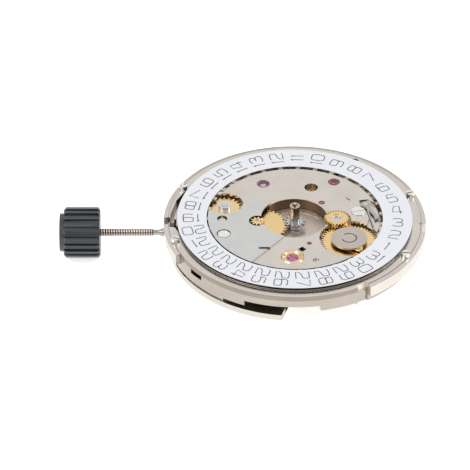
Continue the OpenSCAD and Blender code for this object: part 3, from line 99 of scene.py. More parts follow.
def new_material(name):
    """A new material: itself, its node tree, its Principled shader, its Object coordinates."""
    material = bpy.data.materials.new(name)
    material.use_nodes = True
    tree = material.node_tree
    tree.nodes.clear()
    shader = add(tree, "BsdfPrincipled")
    add(tree, "OutputMaterial", {"Surface": shader.outputs["BSDF"]})
    return material, tree, shader, add(tree, "TexCoord").outputs["Object"]


def insides(material):
    """The tree, the shader and the Object coordinates of a material made by new_material."""
    tree = material.node_tree
    found = {node.type: node for node in tree.nodes}
    return tree, found["BSDF_PRINCIPLED"], found["TEX_COORD"].outputs["Object"]


# %% Meshes and slots
def mesh_piece(name, points, faces, material, smooth=False):
    """A mesh object at the origin from an array of points and a list of faces."""
    mesh = bpy.data.meshes.new(name)
    mesh.from_pydata(np.asarray(points).tolist(), [], faces)
    mesh.polygons.foreach_set("use_smooth", np.full(len(mesh.polygons), smooth))
    mesh.update()
    piece = bpy.data.objects.new(name, mesh)
    bpy.context.scene.collection.objects.link(piece)
    mesh.materials.append(material)
    return piece


painted = set()


def paint(nodes, material):
    """Puts one material in every slot of some nodes of the exact model."""
    for node in nodes:
        slots = NODES[node].data.materials
        for slot in range(len(slots)):
            slots[slot] = material
        painted.add(node)


print("slots to paint:", sum(len(node.data.materials) for node in NODES.values()))

# %% [markdown]
# ## Metal finishes
#
# A movement is mostly metal, and the eye tells one metal part from another by its finish.
# A satin surface has a fine grain in every direction, a brushed one has streaks one way,
# and a turned one has rings about its axis. The lines could be cut into the mesh, at the
# price of millions of faces. Here all three are a noise instead, and only the space that
# it is read in differs: even, stretched, or measured as the distance from an axis. The
# noise moves the colour, the roughness and the bump a little. The grain of a real satin
# is about 0.02 mm, too fine for this picture, so it is drawn about 0.1 mm wide. All these
# metals are plain opaque ones, so they keep the shader's own IOR.

# %% Grain and wear on a metal
DETAIL = 3.0  # octaves of the noise
WEAR_MM = 2.5  # size of the slow, cloudy change of shade that handling leaves on plating
WEAR_LIGHT, WEAR_DARK = 1.04, 0.84  # the colour at the two ends of the wear, times its own
GRAIN_LOW, GRAIN_HIGH = 0.3, 0.7  # the part of the noise that shows as grain
GRAIN_DARK = 0.9  # the colour at the low end of the grain, times its own
SMOOTHEST, ROUGHEST = 0.75, 1.3  # roughness at the two ends of the noise, times its mean


def finish_metal(made, colour, roughness, grain, depth_um):
    """The colour times wear times grain, with a roughness and a bump that follow the grain."""
    material, tree, shader, place = made
    scale = 1 / (WEAR_MM * MM)
    wear = add(tree, "TexNoise", {"Vector": place, "Scale": scale, "Detail": DETAIL})
    worn = add(
        tree, "MapRange",
        {"Value": wear.outputs["Fac"], "To Min": WEAR_LIGHT, "To Max": WEAR_DARK},
    )
    lines = add(
        tree, "MapRange",
        {
            "Value": grain, "From Min": GRAIN_LOW, "From Max": GRAIN_HIGH,
            "To Min": GRAIN_DARK, "To Max": 1.0,
        },
    )
    shade = add(tree, "Math", {0: worn.outputs[0], 1: lines.outputs[0]}, operation="MULTIPLY")
    tint = add(
        tree, "Mix", {"Factor": 1.0, COLOUR_A: linear(colour), COLOUR_B: shade.outputs[0]},
        data_type="RGBA", blend_type="MULTIPLY",
    )
    rough = add(
        tree, "MapRange",
        {"Value": grain, "To Min": roughness * SMOOTHEST, "To Max": roughness * ROUGHEST},
    )
    bump = add(tree, "Bump", {"Height": grain, "Distance": depth_um * UM})
    tree.links.new(tint.outputs[COLOUR_OUT], shader.inputs["Base Color"])
    tree.links.new(rough.outputs[0], shader.inputs["Roughness"])
    tree.links.new(bump.outputs[0], shader.inputs["Normal"])
    shader.inputs["Metallic"].default_value = 1.0
    return material


# %% Satin and brushed metal
def satin_metal(name, colour, roughness, grain_mm=0.1, stretch=(1, 1, 1), depth_um=0.5):
    """Metal with a noise grain, whose size along x, y and z is grain_mm divided by stretch."""
    made = new_material(name)
    tree, place = made[1], made[3]
    density = [s / (grain_mm * MM) for s in stretch]
    spread = add(tree, "Mapping", {"Vector": place, "Scale": density})
    grain = add(tree, "TexNoise", {"Vector": spread.outputs[0], "Scale": 1.0, "Detail": DETAIL})
    return finish_metal(made, colour, roughness, grain.outputs["Fac"], depth_um)


# %% Turned metal
def from_axis(tree, place, axis):
    """Distance from an upright axis at (x, y), and height: two outputs in metres."""
    moved = add(tree, "Mapping", {"Vector": place, "Location": (-axis[0], -axis[1], 0)})
    split = add(tree, "SeparateXYZ", {"Vector": moved.outputs[0]})
    flat = add(tree, "CombineXYZ", {"X": split.outputs["X"], "Y": split.outputs["Y"]})
    radius = add(tree, "VectorMath", {0: flat.outputs[0]}, operation="LENGTH")
    return radius.outputs["Value"], split.outputs["Z"]


def turned_metal(name, colour, roughness, axis, ring_mm=0.1, depth_um=0.5):
    """Turned metal: its grain is a noise of the distance from an axis, so it makes rings."""
    made = new_material(name)
    tree, place = made[1], made[3]
    radius, height = from_axis(tree, place, axis)
    rings = add(tree, "CombineXYZ", {"X": radius, "Z": height})
    scale = 1 / (ring_mm * MM)
    grain = add(tree, "TexNoise", {"Vector": rings.outputs[0], "Scale": scale, "Detail": DETAIL})
    return finish_metal(made, colour, roughness, grain.outputs["Fac"], depth_um)


# %% [markdown]
# ## Zones of one part
#
# One part often has two finishes, such as a burnished recess in a satin plate. Its mesh
# could be cut along the line between them, but the exact model stays whole, so the
# material works out where it is: a zone is everything between two distances from an axis
# and between two heights. A zone's colour mostly multiplies the metal's own, so that the
# grain stays.

# %% Zones
EVERYWHERE = (-99, 99)  # in mm, wider than the whole movement


def ring_zone(tree, place, axis, radii, heights=EVERYWHERE):
    """1 between two distances from an axis and two heights, in millimetres, and 0 elsewhere."""
    found = []
    for value, (low, high) in zip(from_axis(tree, place, axis), (radii, heights)):
        middle, reach = (high + low) / 2 * MM, (high - low) / 2 * MM
        near = add(tree, "Math", {0: value, 1: middle, 2: reach}, operation="COMPARE")
        found.append(near.outputs[0])
    return add(tree, "Math", {0: found[0], 1: found[1]}, operation="MULTIPLY").outputs[0]


def tint_ring(material, axis, radii, heights, colour, blend="MULTIPLY"):
    """Blends a colour into a material's own inside a ring zone, and returns the zone."""
    tree, shader, place = insides(material)
    zone = ring_zone(tree, place, axis, radii, heights)
    own = shader.inputs["Base Color"].links[0].from_socket
    tint = add(
        tree, "Mix", {"Factor": zone, COLOUR_A: own, COLOUR_B: linear(colour)},
        data_type="RGBA", blend_type=blend,
    )
    tree.links.new(tint.outputs[COLOUR_OUT], shader.inputs["Base Color"])
    return zone


# %% Places of the parts
def axis_of(node):
    """Middle of a node's box, seen from above, in metres: where a wheel's axis is."""
    low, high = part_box(node)
    return (low.x + high.x) / 2, (low.y + high.y) / 2


def top_of(node):
    """Height of a node's top in millimetres."""
    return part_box(node)[1].z / MM


HAND_AXIS = (0.0, 0.0)  # the hands turn about the middle of the frame
print("the balance turns at, in mm:", [round(c / MM, 2) for c in axis_of("balance_wheel")])

# %% [markdown]
# ## Plate and bridges
#
# The main plate and the bridges are brass with a nickel plating, which looks slightly
# warmer than steel. The flat faces are satin. The rim was turned, so its lines run level
# round it. The round recess in the middle has a burnished wall and a matt floor, and its
# wall is painted dark, as the shade that falls in it. The rim's upper band is painted
# darker than its lower one, as the shade in a groove. Each finish could be a material of
# its own, on faces picked by hand. One material that knows its zones needs no picking, and
# follows the plate if its shape is made anew.

# %% Plate: satin faces and a turned rim
NICKEL = "#ddd5cd"
PLATE_ROUGHNESS, PLATE_DEPTH_UM = 0.22, 0.7
SATIN_MM, STREAK_MM, STREAK_STRETCH = 0.12, 0.14, (0.04, 0.04, 1.6)
TURNED_RADII, TURNED_HEIGHTS = (12.3, 14), (-3, -0.6)

made = new_material("nickel_plated_brass_plate")
plate, tree, shader, place = made
satin = add(tree, "TexNoise", {"Vector": place, "Scale": 1 / (SATIN_MM * MM), "Detail": DETAIL})
level = add(
    tree, "Mapping", {"Vector": place, "Scale": [s / (STREAK_MM * MM) for s in STREAK_STRETCH]},
)
streaks = add(tree, "TexNoise", {"Vector": level.outputs[0], "Scale": 1.0, "Detail": DETAIL})
on_rim = ring_zone(tree, place, HAND_AXIS, TURNED_RADII, TURNED_HEIGHTS)
grain = add(
    tree, "Mix",
    {"Factor": on_rim, NUMBER_A: satin.outputs["Fac"], NUMBER_B: streaks.outputs["Fac"]},
)
finish_metal(made, NICKEL, PLATE_ROUGHNESS, grain.outputs[NUMBER_OUT], PLATE_DEPTH_UM)
print("nodes in the plate's grain and wear:", len(tree.nodes))

# %% Plate: tints of the recess and the rim, with painted shade
RECESS_RADII, WALL_RADII, WALL_HEIGHTS = (-1, 3.27), (3.2, 3.27), (-1.34, -0.22)
RIM_RADII, RIM_HEIGHTS = (12.0, 12.6), (-2.7, -1.04)
SHADED_BAND_RADII, SHADED_BAND_HEIGHTS = (12.45, 12.55), (-1.04, -0.47)
recess = tint_ring(plate, HAND_AXIS, RECESS_RADII, EVERYWHERE, "#fff9f2")
# The wall's dark tint is painted shade, the shade that falls in the recess.
wall = tint_ring(plate, HAND_AXIS, WALL_RADII, WALL_HEIGHTS, "#7d6e62")
tint_ring(plate, HAND_AXIS, RIM_RADII, RIM_HEIGHTS, "#d4d1cd")
# The upper band's darker tint is painted shade, as in a groove.
tint_ring(plate, HAND_AXIS, SHADED_BAND_RADII, SHADED_BAND_HEIGHTS, "#b3aea8")
print("the wall of the recess is", round(WALL_HEIGHTS[1] - WALL_HEIGHTS[0], 2), "mm high")

# %% Plate: matt floor and burnished wall
MATT_FLOOR, BURNISHED_WALL = 2.2, 0.22  # roughness there, times the plate's own
matt = add(tree, "MapRange", {"Value": recess, "To Min": 1.0, "To Max": MATT_FLOOR})
burnish = add(tree, "MapRange", {"Value": wall, "To Min": 1.0, "To Max": BURNISHED_WALL})
change = add(tree, "Math", {0: matt.outputs[0], 1: burnish.outputs[0]}, operation="MULTIPLY")
own = shader.inputs["Roughness"].links[0].from_socket
rough = add(tree, "Math", {0: own, 1: change.outputs[0]}, operation="MULTIPLY")
tree.links.new(rough.outputs[0], shader.inputs["Roughness"])
paint(["main_plate"], plate)
print("nodes in the plate's material:", len(tree.nodes))

# %% Bridges: streaks one way, right across each bridge
bridges = ["train_bridge", "barrel_bridge", "balance_cock", "pallet_cock", "automatic_bridge"]
bridge_metal = satin_metal(
    "nickel_plated_brass_bridges", NICKEL,
    roughness=0.27, grain_mm=0.12, stretch=(0.12, 1.2, 1), depth_um=0.6,
)
paint(bridges, bridge_metal)
print("bridges:", len(bridges))

# %% [markdown]
# ## Cover plate
#
# The cover plate over the date works is stamped from sheet steel and brushed one way. Its
# cut edge is painted darker than its face, as the shade in the gap along it. The edge
# could be picked face by face, but it is simply all that lies lower than the face, so a
# zone finds it.

# %% Brushed sheet steel
FACE_MM = 0.01  # what lies this far below the top is edge
cover_top = top_of("date_cover_plate")
cover = satin_metal(
    "brushed_sheet_steel", "#dadad9",
    roughness=0.27, grain_mm=0.1, stretch=(0.08, 1.5, 1), depth_um=0.25,
)
# The darker colour of the edge is painted shade.
tint_ring(cover, HAND_AXIS, EVERYWHERE, (-1, cover_top - FACE_MM), "#a5a09a")
paint(["date_cover_plate"], cover)
print("cover plate's top in mm:", round(cover_top, 3))

# %% [markdown]
# ## Rotor
#
# The half-round rotor winds the spring when the wrist moves. Its weight is a dense alloy
# and its web is nickel plated brass. Both were turned about the hand axis, and their
# rings are easy to see because the part is wide and plain. A wave texture would give
# rings too, but all of one width. The noise spaces them unevenly, as a real tool does.

# %% Rotor metals
rotor_metals = {
    "rotor_weight": turned_metal(
        "tungsten_alloy_turned", "#d3cdc4",
        roughness=0.28, axis=HAND_AXIS, ring_mm=0.16, depth_um=1.2,
    ),
    "rotor_web": turned_metal(
        "nickel_plated_brass_turned", "#d8d3cc",
        roughness=0.27, axis=HAND_AXIS, ring_mm=0.14, depth_um=0.9,
    ),
}
for part, metal in rotor_metals.items():
    paint([part], metal)
print("rotor metals:", [metal.name for metal in rotor_metals.values()])

# %% [markdown]
# ## Gilt wheels
#
# The wheels of the train, the date works and the motion work are brass with a thin gold
# plating, warm and bright. Each is turned about its own axis, which is the middle of its
# box. One material for all can't know these axes, so each wheel gets its own. Two of the
# wheels run on a steel hub, which shows as a bright grey middle.

# %% Gold plated brass
GILT = "#f3d49c"
HUB_RADII = {"setting_wheel": 0.82, "intermediate_date_wheel": 0.5}  # in mm
gilt_wheels = [
    "date_driving_wheel", "intermediate_date_wheel", "minute_wheel", "setting_wheel",
    "barrel_drum", "barrel_cover", "centre_wheel", "third_wheel", "seconds_wheel",
    "balance_wheel", "reduction_wheel", "reversing_wheel_a", "reversing_wheel_b",
]
for wheel in gilt_wheels:
    gilt = turned_metal("gold_plated_brass_" + wheel, GILT, roughness=0.22, axis=axis_of(wheel))
    if wheel in HUB_RADII:
        tint_ring(gilt, axis_of(wheel), (-1, HUB_RADII[wheel]), EVERYWHERE, "#d2d3d6", "MIX")
    paint([wheel], gilt)
print("gilt wheels:", len(gilt_wheels), "with a steel hub:", len(HUB_RADII))

# %% [markdown]
# ## Steel parts
#
# Pinions, levers, springs and screws are hardened steel, cooler than nickel. Winding
# wheels are turned and polished, levers and springs are brushed, and screw heads are
# polished almost to a mirror. The stem and its pinions were turned about the stem's own
# axis, so their grain runs round it. One steel for all would look like one casting, so
# the parts are listed by how they were made, and each list gets its own finish.

# %% Turned steel
STEEL = "#c6c5c7"
turned_steel = [
    "ratchet_wheel", "crown_wheel", "escape_wheel", "rotor_gear", "rotor_bearing",
    "cannon_pinion", "intermediate_setting_wheel", "barrel_arbor", "balance_staff",
    "reversing_pinion_a", "reversing_pinion_b", "ratchet_screw",
]
for part in turned_steel:
    polished = turned_metal(
        "turned_steel_" + part, STEEL,
        roughness=0.18, axis=axis_of(part), ring_mm=0.08, depth_um=0.4,
    )
    paint([part], polished)
print("turned steel parts:", len(turned_steel))

# %% Brushed levers, polished screws and the stem
levers = [
    "date_jumper", "setting_lever", "setting_lever_jumper", "yoke", "click", "regulator",
    "hairspring_stud", "pallet_fork", "cannon_spring",
]
lever_steel = satin_metal(
    "brushed_steel", "#bdbbb7", roughness=0.26, grain_mm=0.1, stretch=(0.1, 1.2, 1), depth_um=0.5,
)
paint(levers, lever_steel)
screws = ["dial_seat_screws", "dial_side_screws", "bridge_screws"]
screw_steel = satin_metal(
    "polished_screw_steel", "#f0ede8", roughness=0.13, grain_mm=0.12, depth_um=0.25,
)
paint(screws, screw_steel)
stem_parts = ["winding_stem", "sliding_pinion", "winding_pinion"]
stem_steel = satin_metal(
    "turned_stem_steel", "#b4b0ab",
    roughness=0.2, grain_mm=0.12, stretch=(1.4, 0.05, 0.05), depth_um=0.6,
)
paint(stem_parts, stem_steel)
print("levers:", len(levers), "screw nodes:", len(screws), "parts on the stem:", len(stem_parts))

# %% [markdown]
# ## Springs
#
# The mainspring is a strip of a hard white alloy. The hairspring is a far thinner strip of
# an iron and nickel alloy, with the blue tone that heat gives it. Both are rolled, so real
# ones have fine lines along the strip. A UV map along the coil could carry such lines, but
# the strips are so narrow that none would show. So the noise stays nearly the same over the
# height of a strip and changes along the coil, which breaks up the glint of each turn.

# %% Rolled strip, bare and blued
strips_of_spring = {
    "mainspring": satin_metal(
        "mainspring_alloy", "#8b8d91", roughness=0.3, stretch=(1, 1, 0.1), depth_um=0.4,
    ),
    "hairspring": satin_metal(
        "hairspring_alloy", "#5d6c86", roughness=0.25, stretch=(1, 1, 0.1), depth_um=0.3,
    ),
}
for part, metal in strips_of_spring.items():
    paint([part], metal)
print("springs:", list(strips_of_spring))

# %% [markdown]
# ## Finger disc
#
# The steel disc over the finger of the date works carries a C-shaped groove, which marks
# the place of the finger. The groove is cut in the exact model, but it is so shallow that
# light alone hardly shows it. So its floor, where dirt and shade gather, is tinted darker.

# %% Finger disc
GROOVE_RADII, GROOVE_MM = (0.6, 0.84), 0.02  # what lies that far below the top is groove
disc_axis, disc_top = axis_of("date_finger_disc"), top_of("date_finger_disc")
disc = turned_metal("steel_finger_disc", "#cdc3b9", roughness=0.28, axis=disc_axis)
tint_ring(disc, disc_axis, GROOVE_RADII, (-1, disc_top - GROOVE_MM), "#7a706a")
paint(["date_finger_disc"], disc)
print("finger disc's axis in mm:", [round(c / MM, 2) for c in disc_axis])

# %% [markdown]
# ## Rubies
#
# The pivots turn in synthetic ruby, a clear red stone with a high gloss. The stones are
# small, so what the eye gets is a dark red ring with a pink glint: light enters the
# stone, takes its colour from the thickness, and comes back from the metal below. Pure
# glass would need many bounces of light to show that, and would come out noisy. A noise
# stands for that play of dark and light, in a stone that is only partly clear.

# %% Play of light in a stone
STONE_MM, STONE_DETAIL = 0.35, 2.0  # size of the play of dark and light, and its octaves
CLOUD_LOW, CLOUD_HIGH = 0.35, 0.65  # the noise from here to there goes from dark to light


def stone_colour(tree, place, dark, light):
    """A noise between a dark and a light colour, made steeper so that both of them show."""
    cloud = add(
        tree, "TexNoise", {"Vector": place, "Scale": 1 / (STONE_MM * MM), "Detail": STONE_DETAIL},
    )
    glint = add(
        tree, "MapRange",
        {"Value": cloud.outputs["Fac"], "From Min": CLOUD_LOW, "From Max": CLOUD_HIGH},
    )
    stone = add(
        tree, "Mix", {"Factor": glint.outputs[0], COLOUR_A: linear(dark), COLOUR_B: linear(light)},
        data_type="RGBA",
    )
    return stone.outputs[COLOUR_OUT]


# %% Synthetic ruby
RUBY_ROUGHNESS, RUBY_IOR, RUBY_CLEARNESS = 0.06, 1.76, 0.35
ruby, tree, shader, place = new_material("synthetic_ruby")
tree.links.new(stone_colour(tree, place, "#5a1230", "#c4487e"), shader.inputs["Base Color"])
shader.inputs["Roughness"].default_value = RUBY_ROUGHNESS
shader.inputs["IOR"].default_value = RUBY_IOR
shader.inputs["Transmission Weight"].default_value = RUBY_CLEARNESS
ruby_parts = ["dial_side_jewels", "bridge_side_jewels", "pallet_stones", "impulse_jewel"]
paint(ruby_parts, ruby)
print("ruby nodes:", len(ruby_parts))

# %% [markdown]
# ## Shock settings
#
# Each pivot of the balance turns in a jewel that can give way in a fall. A gilt ring
# holds a ruby cap. The two could be two nodes, but they move as one, so one material is
# gold outside the cap's radius and stone inside it.

# %% Gilt ring with a ruby cap
CAP_RADII = (-1, 0.615)  # in mm: all that lies nearer the axis than the ring
for setting in ["lower_shock_setting", "cock_shock_setting"]:
    ring = turned_metal(
        "gilt_ring_and_ruby_cap_" + setting, "#ebd2a8", roughness=0.18, axis=axis_of(setting),
    )
    tree, shader, place = insides(ring)
    cap = ring_zone(tree, place, axis_of(setting), CAP_RADII)
    stone = stone_colour(tree, place, "#7d2456", "#dc8aba")
    own = shader.inputs["Base Color"].links[0].from_socket
    both = add(tree, "Mix", {"Factor": cap, COLOUR_A: own, COLOUR_B: stone}, data_type="RGBA")
    metallic = add(tree, "Math", {0: 1.0, 1: cap}, operation="SUBTRACT")
    tree.links.new(both.outputs[COLOUR_OUT], shader.inputs["Base Color"])
    tree.links.new(metallic.outputs[0], shader.inputs["Metallic"])
    paint([setting], ring)
    print(setting, "axis in mm:", [round(c / MM, 2) for c in axis_of(setting)])

# %% [markdown]
# ## Date ring
#
# The ring is nickel plated brass with a pale lacquer, slightly blue beside the metal. The
# lacquer is smooth with a faint waviness, about half a millimetre from crest to crest. It
# covers only the printed face. A dark line of painted shade runs along the top of the outer
# wall, as if under an overhanging edge of the lacquer. That line is what parts the ring from
# the rim to the eye. The lacquer could be a skin of its own over the ring, but nobody sees
# its thickness, so it is one more zone of the ring's material.

# %% Lacquer, bare metal and a line of painted shade
LACQUER_MM, SHADE_LINE_MM = 0.03, 0.26  # how far below the top the lacquer and the dark line end
OUTER_RADII, BELOW = (11, 12), -9  # the outer wall, and a height under everything
ring_top = top_of("date_ring")
lacquer, tree, shader, place = new_material("pale_lacquer_on_brass")
shade_line = ring_zone(tree, place, HAND_AXIS, OUTER_RADII, (ring_top - SHADE_LINE_MM, ring_top - LACQUER_MM))
# The dark colour #2b2624 is painted shade along the top of the outer wall.
metal = add(
    tree, "Mix", {"Factor": shade_line, COLOUR_A: linear("#cbc2b8"), COLOUR_B: linear("#2b2624")},
    data_type="RGBA",
)
bare = ring_zone(tree, place, HAND_AXIS, EVERYWHERE, (BELOW, ring_top - LACQUER_MM))
print("date ring's top in mm:", round(ring_top, 3))

# %% Waviness and gloss of the lacquer
WAVE_MM, WAVE_UM, LACQUER_ROUGHNESS = 0.5, 0.6, 0.36
waves = add(tree, "TexNoise", {"Vector": place, "Scale": 1 / (WAVE_MM * MM), "Detail": 1.0})
white = add(
    tree, "Mix",
    {"Factor": waves.outputs["Fac"], COLOUR_A: linear("#f2f5fc"), COLOUR_B: linear("#fafbff")},
    data_type="RGBA",
)
face = add(
    tree, "Mix",
    {"Factor": bare, COLOUR_A: white.outputs[COLOUR_OUT], COLOUR_B: metal.outputs[COLOUR_OUT]},
    data_type="RGBA",
)
bump = add(tree, "Bump", {"Height": waves.outputs["Fac"], "Distance": WAVE_UM * UM})
tree.links.new(face.outputs[COLOUR_OUT], shader.inputs["Base Color"])
tree.links.new(bare, shader.inputs["Metallic"])
tree.links.new(bump.outputs[0], shader.inputs["Normal"])
shader.inputs["Roughness"].default_value = LACQUER_ROUGHNESS
paint(["date_ring"], lacquer)
print("nodes in the ring's material:", len(tree.nodes))

# %% [markdown]
# ## Numerals
#
# The numerals 1 to 31 are printed on the ring, and read along its radius: the tens lie
# nearer the middle. They are drawn with a stroke font of this scene's own, in thin lines
# with squarish corners. Each stroke is a path of points in a unit square, turned to its
# place on the ring, and given the width and thickness of a printed line. A picture of the
# numerals would blur up close, and real strips keep their edges sharp from any distance.

# %% Stroke font
BOX_POWER = 0.45  # below 1 this squares off the corners of a round stroke
SOFT_POWER = 0.7  # rounder corners, for the two halves of a 3


def loop(left, right, low, high, start=0.0, end=360.0, steps=20, power=BOX_POWER):
    """Points of a rounded box: its middle, plus half its size times cosine and sine, each of
    them raised to a power below 1, which fills out the corners."""
    turn = np.radians(np.linspace(start, end, steps + 1))
    cosine, sine = np.cos(turn), np.sin(turn)
    across = (left + right) / 2 + (right - left) / 2 * np.sign(cosine) * np.abs(cosine) ** power
    up = (low + high) / 2 + (high - low) / 2 * np.sign(sine) * np.abs(sine) ** power
    return np.column_stack([across, up])


def stroke(*parts):
    """Joins points and curves end to end into one stroke."""
    return np.vstack([np.atleast_2d(np.array(part, float)) for part in parts])


print("points in a round stroke:", len(loop(0, 1, 0, 1)))

# %% Digits, each a list of strokes in a unit square
DIGITS = {
    0: [loop(0, 1, 0, 1)],
    1: [stroke((0.15, 0.8), (0.5, 1), (0.5, 0))],
    2: [stroke(loop(0, 1, 0.46, 1, 165, -35, 14), (0.3, 0.4), (0.05, 0.26), (0, 0), (1, 0))],
    3: [
        loop(0, 0.94, 0.52, 1, 160, -90, 14, SOFT_POWER),
        loop(0, 1, 0, 0.52, 90, -160, 14, SOFT_POWER),
        stroke((0.3, 0.52), (0.55, 0.52)),
    ],
    4: [stroke((0.8, 0), (0.8, 1), (0.28, 1), (0, 0.28), (1, 0.28))],
    5: [stroke((0.92, 1), (0.14, 1), (0.06, 0.5), loop(0, 1, 0, 0.62, 130, -165, 14))],
    6: [stroke(loop(0, 0.94, 0.3, 1, 30, 180, 12), (0, 0.3)), loop(0, 1, 0, 0.56)],
    7: [stroke((0, 1), (1, 1), (0.4, 0))],
    8: [loop(0.04, 0.96, 0.54, 1), loop(0, 1, 0, 0.54)],
    9: [stroke(loop(0.06, 1, 0, 0.7, 210, 360, 12), (1, 0.7)), loop(0, 1, 0.44, 1)],
}
WIDTHS = {digit: 1.0 for digit in DIGITS} | {1: 0.42}  # only the 1 is narrow
print("strokes in the font:", sum(len(strokes) for strokes in DIGITS.values()))

# %% [markdown]
# A stroke becomes a flat bar. At each point of its path the bar reaches half its width to
# either side, along the line square to the path, and half its thickness up and down. The
# lower half lies in the lacquer, so no gap shows under the ink. A curve with a bevel would
# make a round wire instead, which is not what a printing pad leaves.

# %% A bar of ink along a path
INK_W, INK_T = 0.09, 0.012  # width and thickness of a printed line in mm


def ink_strip(path, closed):
    """A bar along a path: at each point half the width to each side of it, at two heights."""
    ahead = np.roll(path, -1, 0) - np.roll(path, 1, 0)
    if not closed:
        ahead[0], ahead[-1] = path[1] - path[0], path[-1] - path[-2]
    across = np.column_stack([-ahead[:, 1], ahead[:, 0]])
    across *= INK_W / 2 / np.linalg.norm(across, axis=1, keepdims=True)
    half = INK_T / 2
    sides = [(across, half), (-across, half), (-across, -half), (across, -half)]
    corners = [np.column_stack([path + side, np.full(len(path), rise)]) for side, rise in sides]
    count = len(path)
    starts = np.arange(count if closed else count - 1)
    here, side = np.meshgrid(starts, np.arange(4), indexing="ij")
    after, turned = (here + 1) % count, (side + 1) % 4
    quads = [4 * here + side, 4 * here + turned, 4 * after + turned, 4 * after + side]
    faces = np.stack(quads, -1).reshape(-1, 4)
    if not closed:
        last = 4 * (count - 1)
        faces = np.vstack([faces, [[3, 2, 1, 0]], [[last, last + 1, last + 2, last + 3]]])
    return np.stack(corners, 1).reshape(-1, 3), faces


test_points, test_faces = ink_strip(DIGITS[1][0], False)
print("the strip of a 1 has", len(test_points), "points and", len(test_faces), "faces")

# %% One numeral, turned into place
DIGIT_W, DIGIT_H, DIGIT_GAP = 1.0, 1.3, 0.24  # in mm: along the radius, round the ring, between
NUMERALS_R = 10.2  # distance from the hand axis to the middle of a numeral, in mm
FIRST_TURN, DAYS = 320.14, 31  # where day 0 would be, in degrees


def numeral(day):
    """All strips of one number, its first digit nearest the middle. A point of a digit goes to
    its place across times the outward direction, plus its height times the onward one."""
    digits = [int(letter) for letter in str(day)]
    widths = [WIDTHS[digit] * DIGIT_W for digit in digits]
    start = NUMERALS_R - (sum(widths) + DIGIT_GAP * (len(digits) - 1)) / 2
    turn = np.radians(FIRST_TURN + 360 / DAYS * day)
    outward = np.array([np.cos(turn), np.sin(turn)])
    onward = np.array([-np.sin(turn), np.cos(turn)])
    strips = []
    for digit, width in zip(digits, widths):
        for line in DIGITS[digit]:
            closed = bool(np.allclose(line[0], line[-1]))
            line = line[:-1] if closed else line
            path = np.column_stack([start + line[:, 0] * width, (line[:, 1] - 0.5) * DIGIT_H])
            points, faces = ink_strip(path, closed)
            plane = points[:, :1] * outward + points[:, 1:2] * onward
            strips.append((np.column_stack([plane, points[:, 2] + ring_top]) * MM, faces))
        start += width + DIGIT_GAP
    return strips


# %% [markdown]
# The ink is a matt dark grey. It is thin, so the pale lacquer shows through a little where
# the print is uneven. Real transparency would do that too, but it costs time at every
# edge, and between two greys the eye sees no difference.

# %% Printing ink
INK_GRAIN_MM, INK_DETAIL, INK_ROUGHNESS = 0.2, 2.0, 0.6
ink, tree, shader, place = new_material("printing_ink")
uneven = add(
    tree, "TexNoise", {"Vector": place, "Scale": 1 / (INK_GRAIN_MM * MM), "Detail": INK_DETAIL},
)
grey = add(
    tree, "Mix",
    {"Factor": uneven.outputs["Fac"], COLOUR_A: linear("#3e3e47"), COLOUR_B: linear("#5c5c66")},
    data_type="RGBA",
)
tree.links.new(grey.outputs[COLOUR_OUT], shader.inputs["Base Color"])
shader.inputs["Roughness"].default_value = INK_ROUGHNESS
print("spots in the ink, in mm:", INK_GRAIN_MM)

# %% Printed numerals
strips = [strip for day in range(1, DAYS + 1) for strip in numeral(day)]
offsets = np.cumsum([0] + [len(points) for points, _ in strips])
numeral_points = np.vstack([points for points, _ in strips])
numeral_faces = np.vstack([faces + offset for (_, faces), offset in zip(strips, offsets)])
numerals = mesh_piece("date_numerals", numeral_points, numeral_faces.tolist(), ink)
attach(numerals, "date_ring")
print("numerals:", DAYS, "strips:", len(strips), "faces:", len(numeral_faces))

# %% [markdown]
# ## Thread of the stem
#
# The stem is threaded so that the knob screws on. A bump could fake the ridges, but the
# outline would stay straight, so they are real. A thread is a cylinder whose radius rises
# and falls along a helix: at each point, the distance along the stem less one pitch for
# each turn gives the place in the tooth. The grid is fine enough for the crests to stay
# sharp. The thread runs out into the stem at both ends, where two flat faces close it.

# %% Helical thread
STEM_Z = -1.95  # height of the stem's axis, in mm
THREAD_START, THREAD_END = -13.99, -19.25  # along x, in mm
PITCH, ROOT_R, CREST_R = 0.25, 0.324, 0.4  # in mm
FLANK, ROOT_FLAT = 1.25, 0.12  # steepness of a tooth's flank, and what is cut off as its root
AROUND, PER_PITCH = 40, 10  # points round the stem, and along it for each turn
RUN_OUT = 40  # each end fades out over one part in this many of the length
along = int((THREAD_START - THREAD_END) / PITCH * PER_PITCH)
turns, lengths = np.meshgrid(np.arange(AROUND) / AROUND, np.linspace(0, 1, along), indexing="ij")
x = THREAD_START + (THREAD_END - THREAD_START) * lengths
tooth = np.abs(((x / PITCH - turns) % 1) * 2 - 1)
fade = np.clip(np.minimum(lengths, 1 - lengths) * RUN_OUT, 0, 1)
r = ROOT_R + (CREST_R - ROOT_R) * np.clip(FLANK * tooth - ROOT_FLAT, 0, 1) * fade
angle = 2 * np.pi * turns
thread_points = np.stack([x, r * np.cos(angle), STEM_Z + r * np.sin(angle)], -1)
print("thread turns:", round((THREAD_START - THREAD_END) / PITCH, 1), "crest in mm:", r.max())

# %% Faces of the thread: a skin of quads, closed round the stem, and two flat ends
index = np.arange(AROUND * along).reshape(AROUND, along)
ahead = np.roll(index, -1, 0)
skin = np.stack([index[:, :-1], index[:, 1:], ahead[:, 1:], ahead[:, :-1]], -1)
flat_ends = [index[:, 0].tolist(), index[::-1, -1].tolist()]
thread_faces = skin.reshape(-1, 4).tolist() + flat_ends
print("faces of the thread:", len(thread_faces))
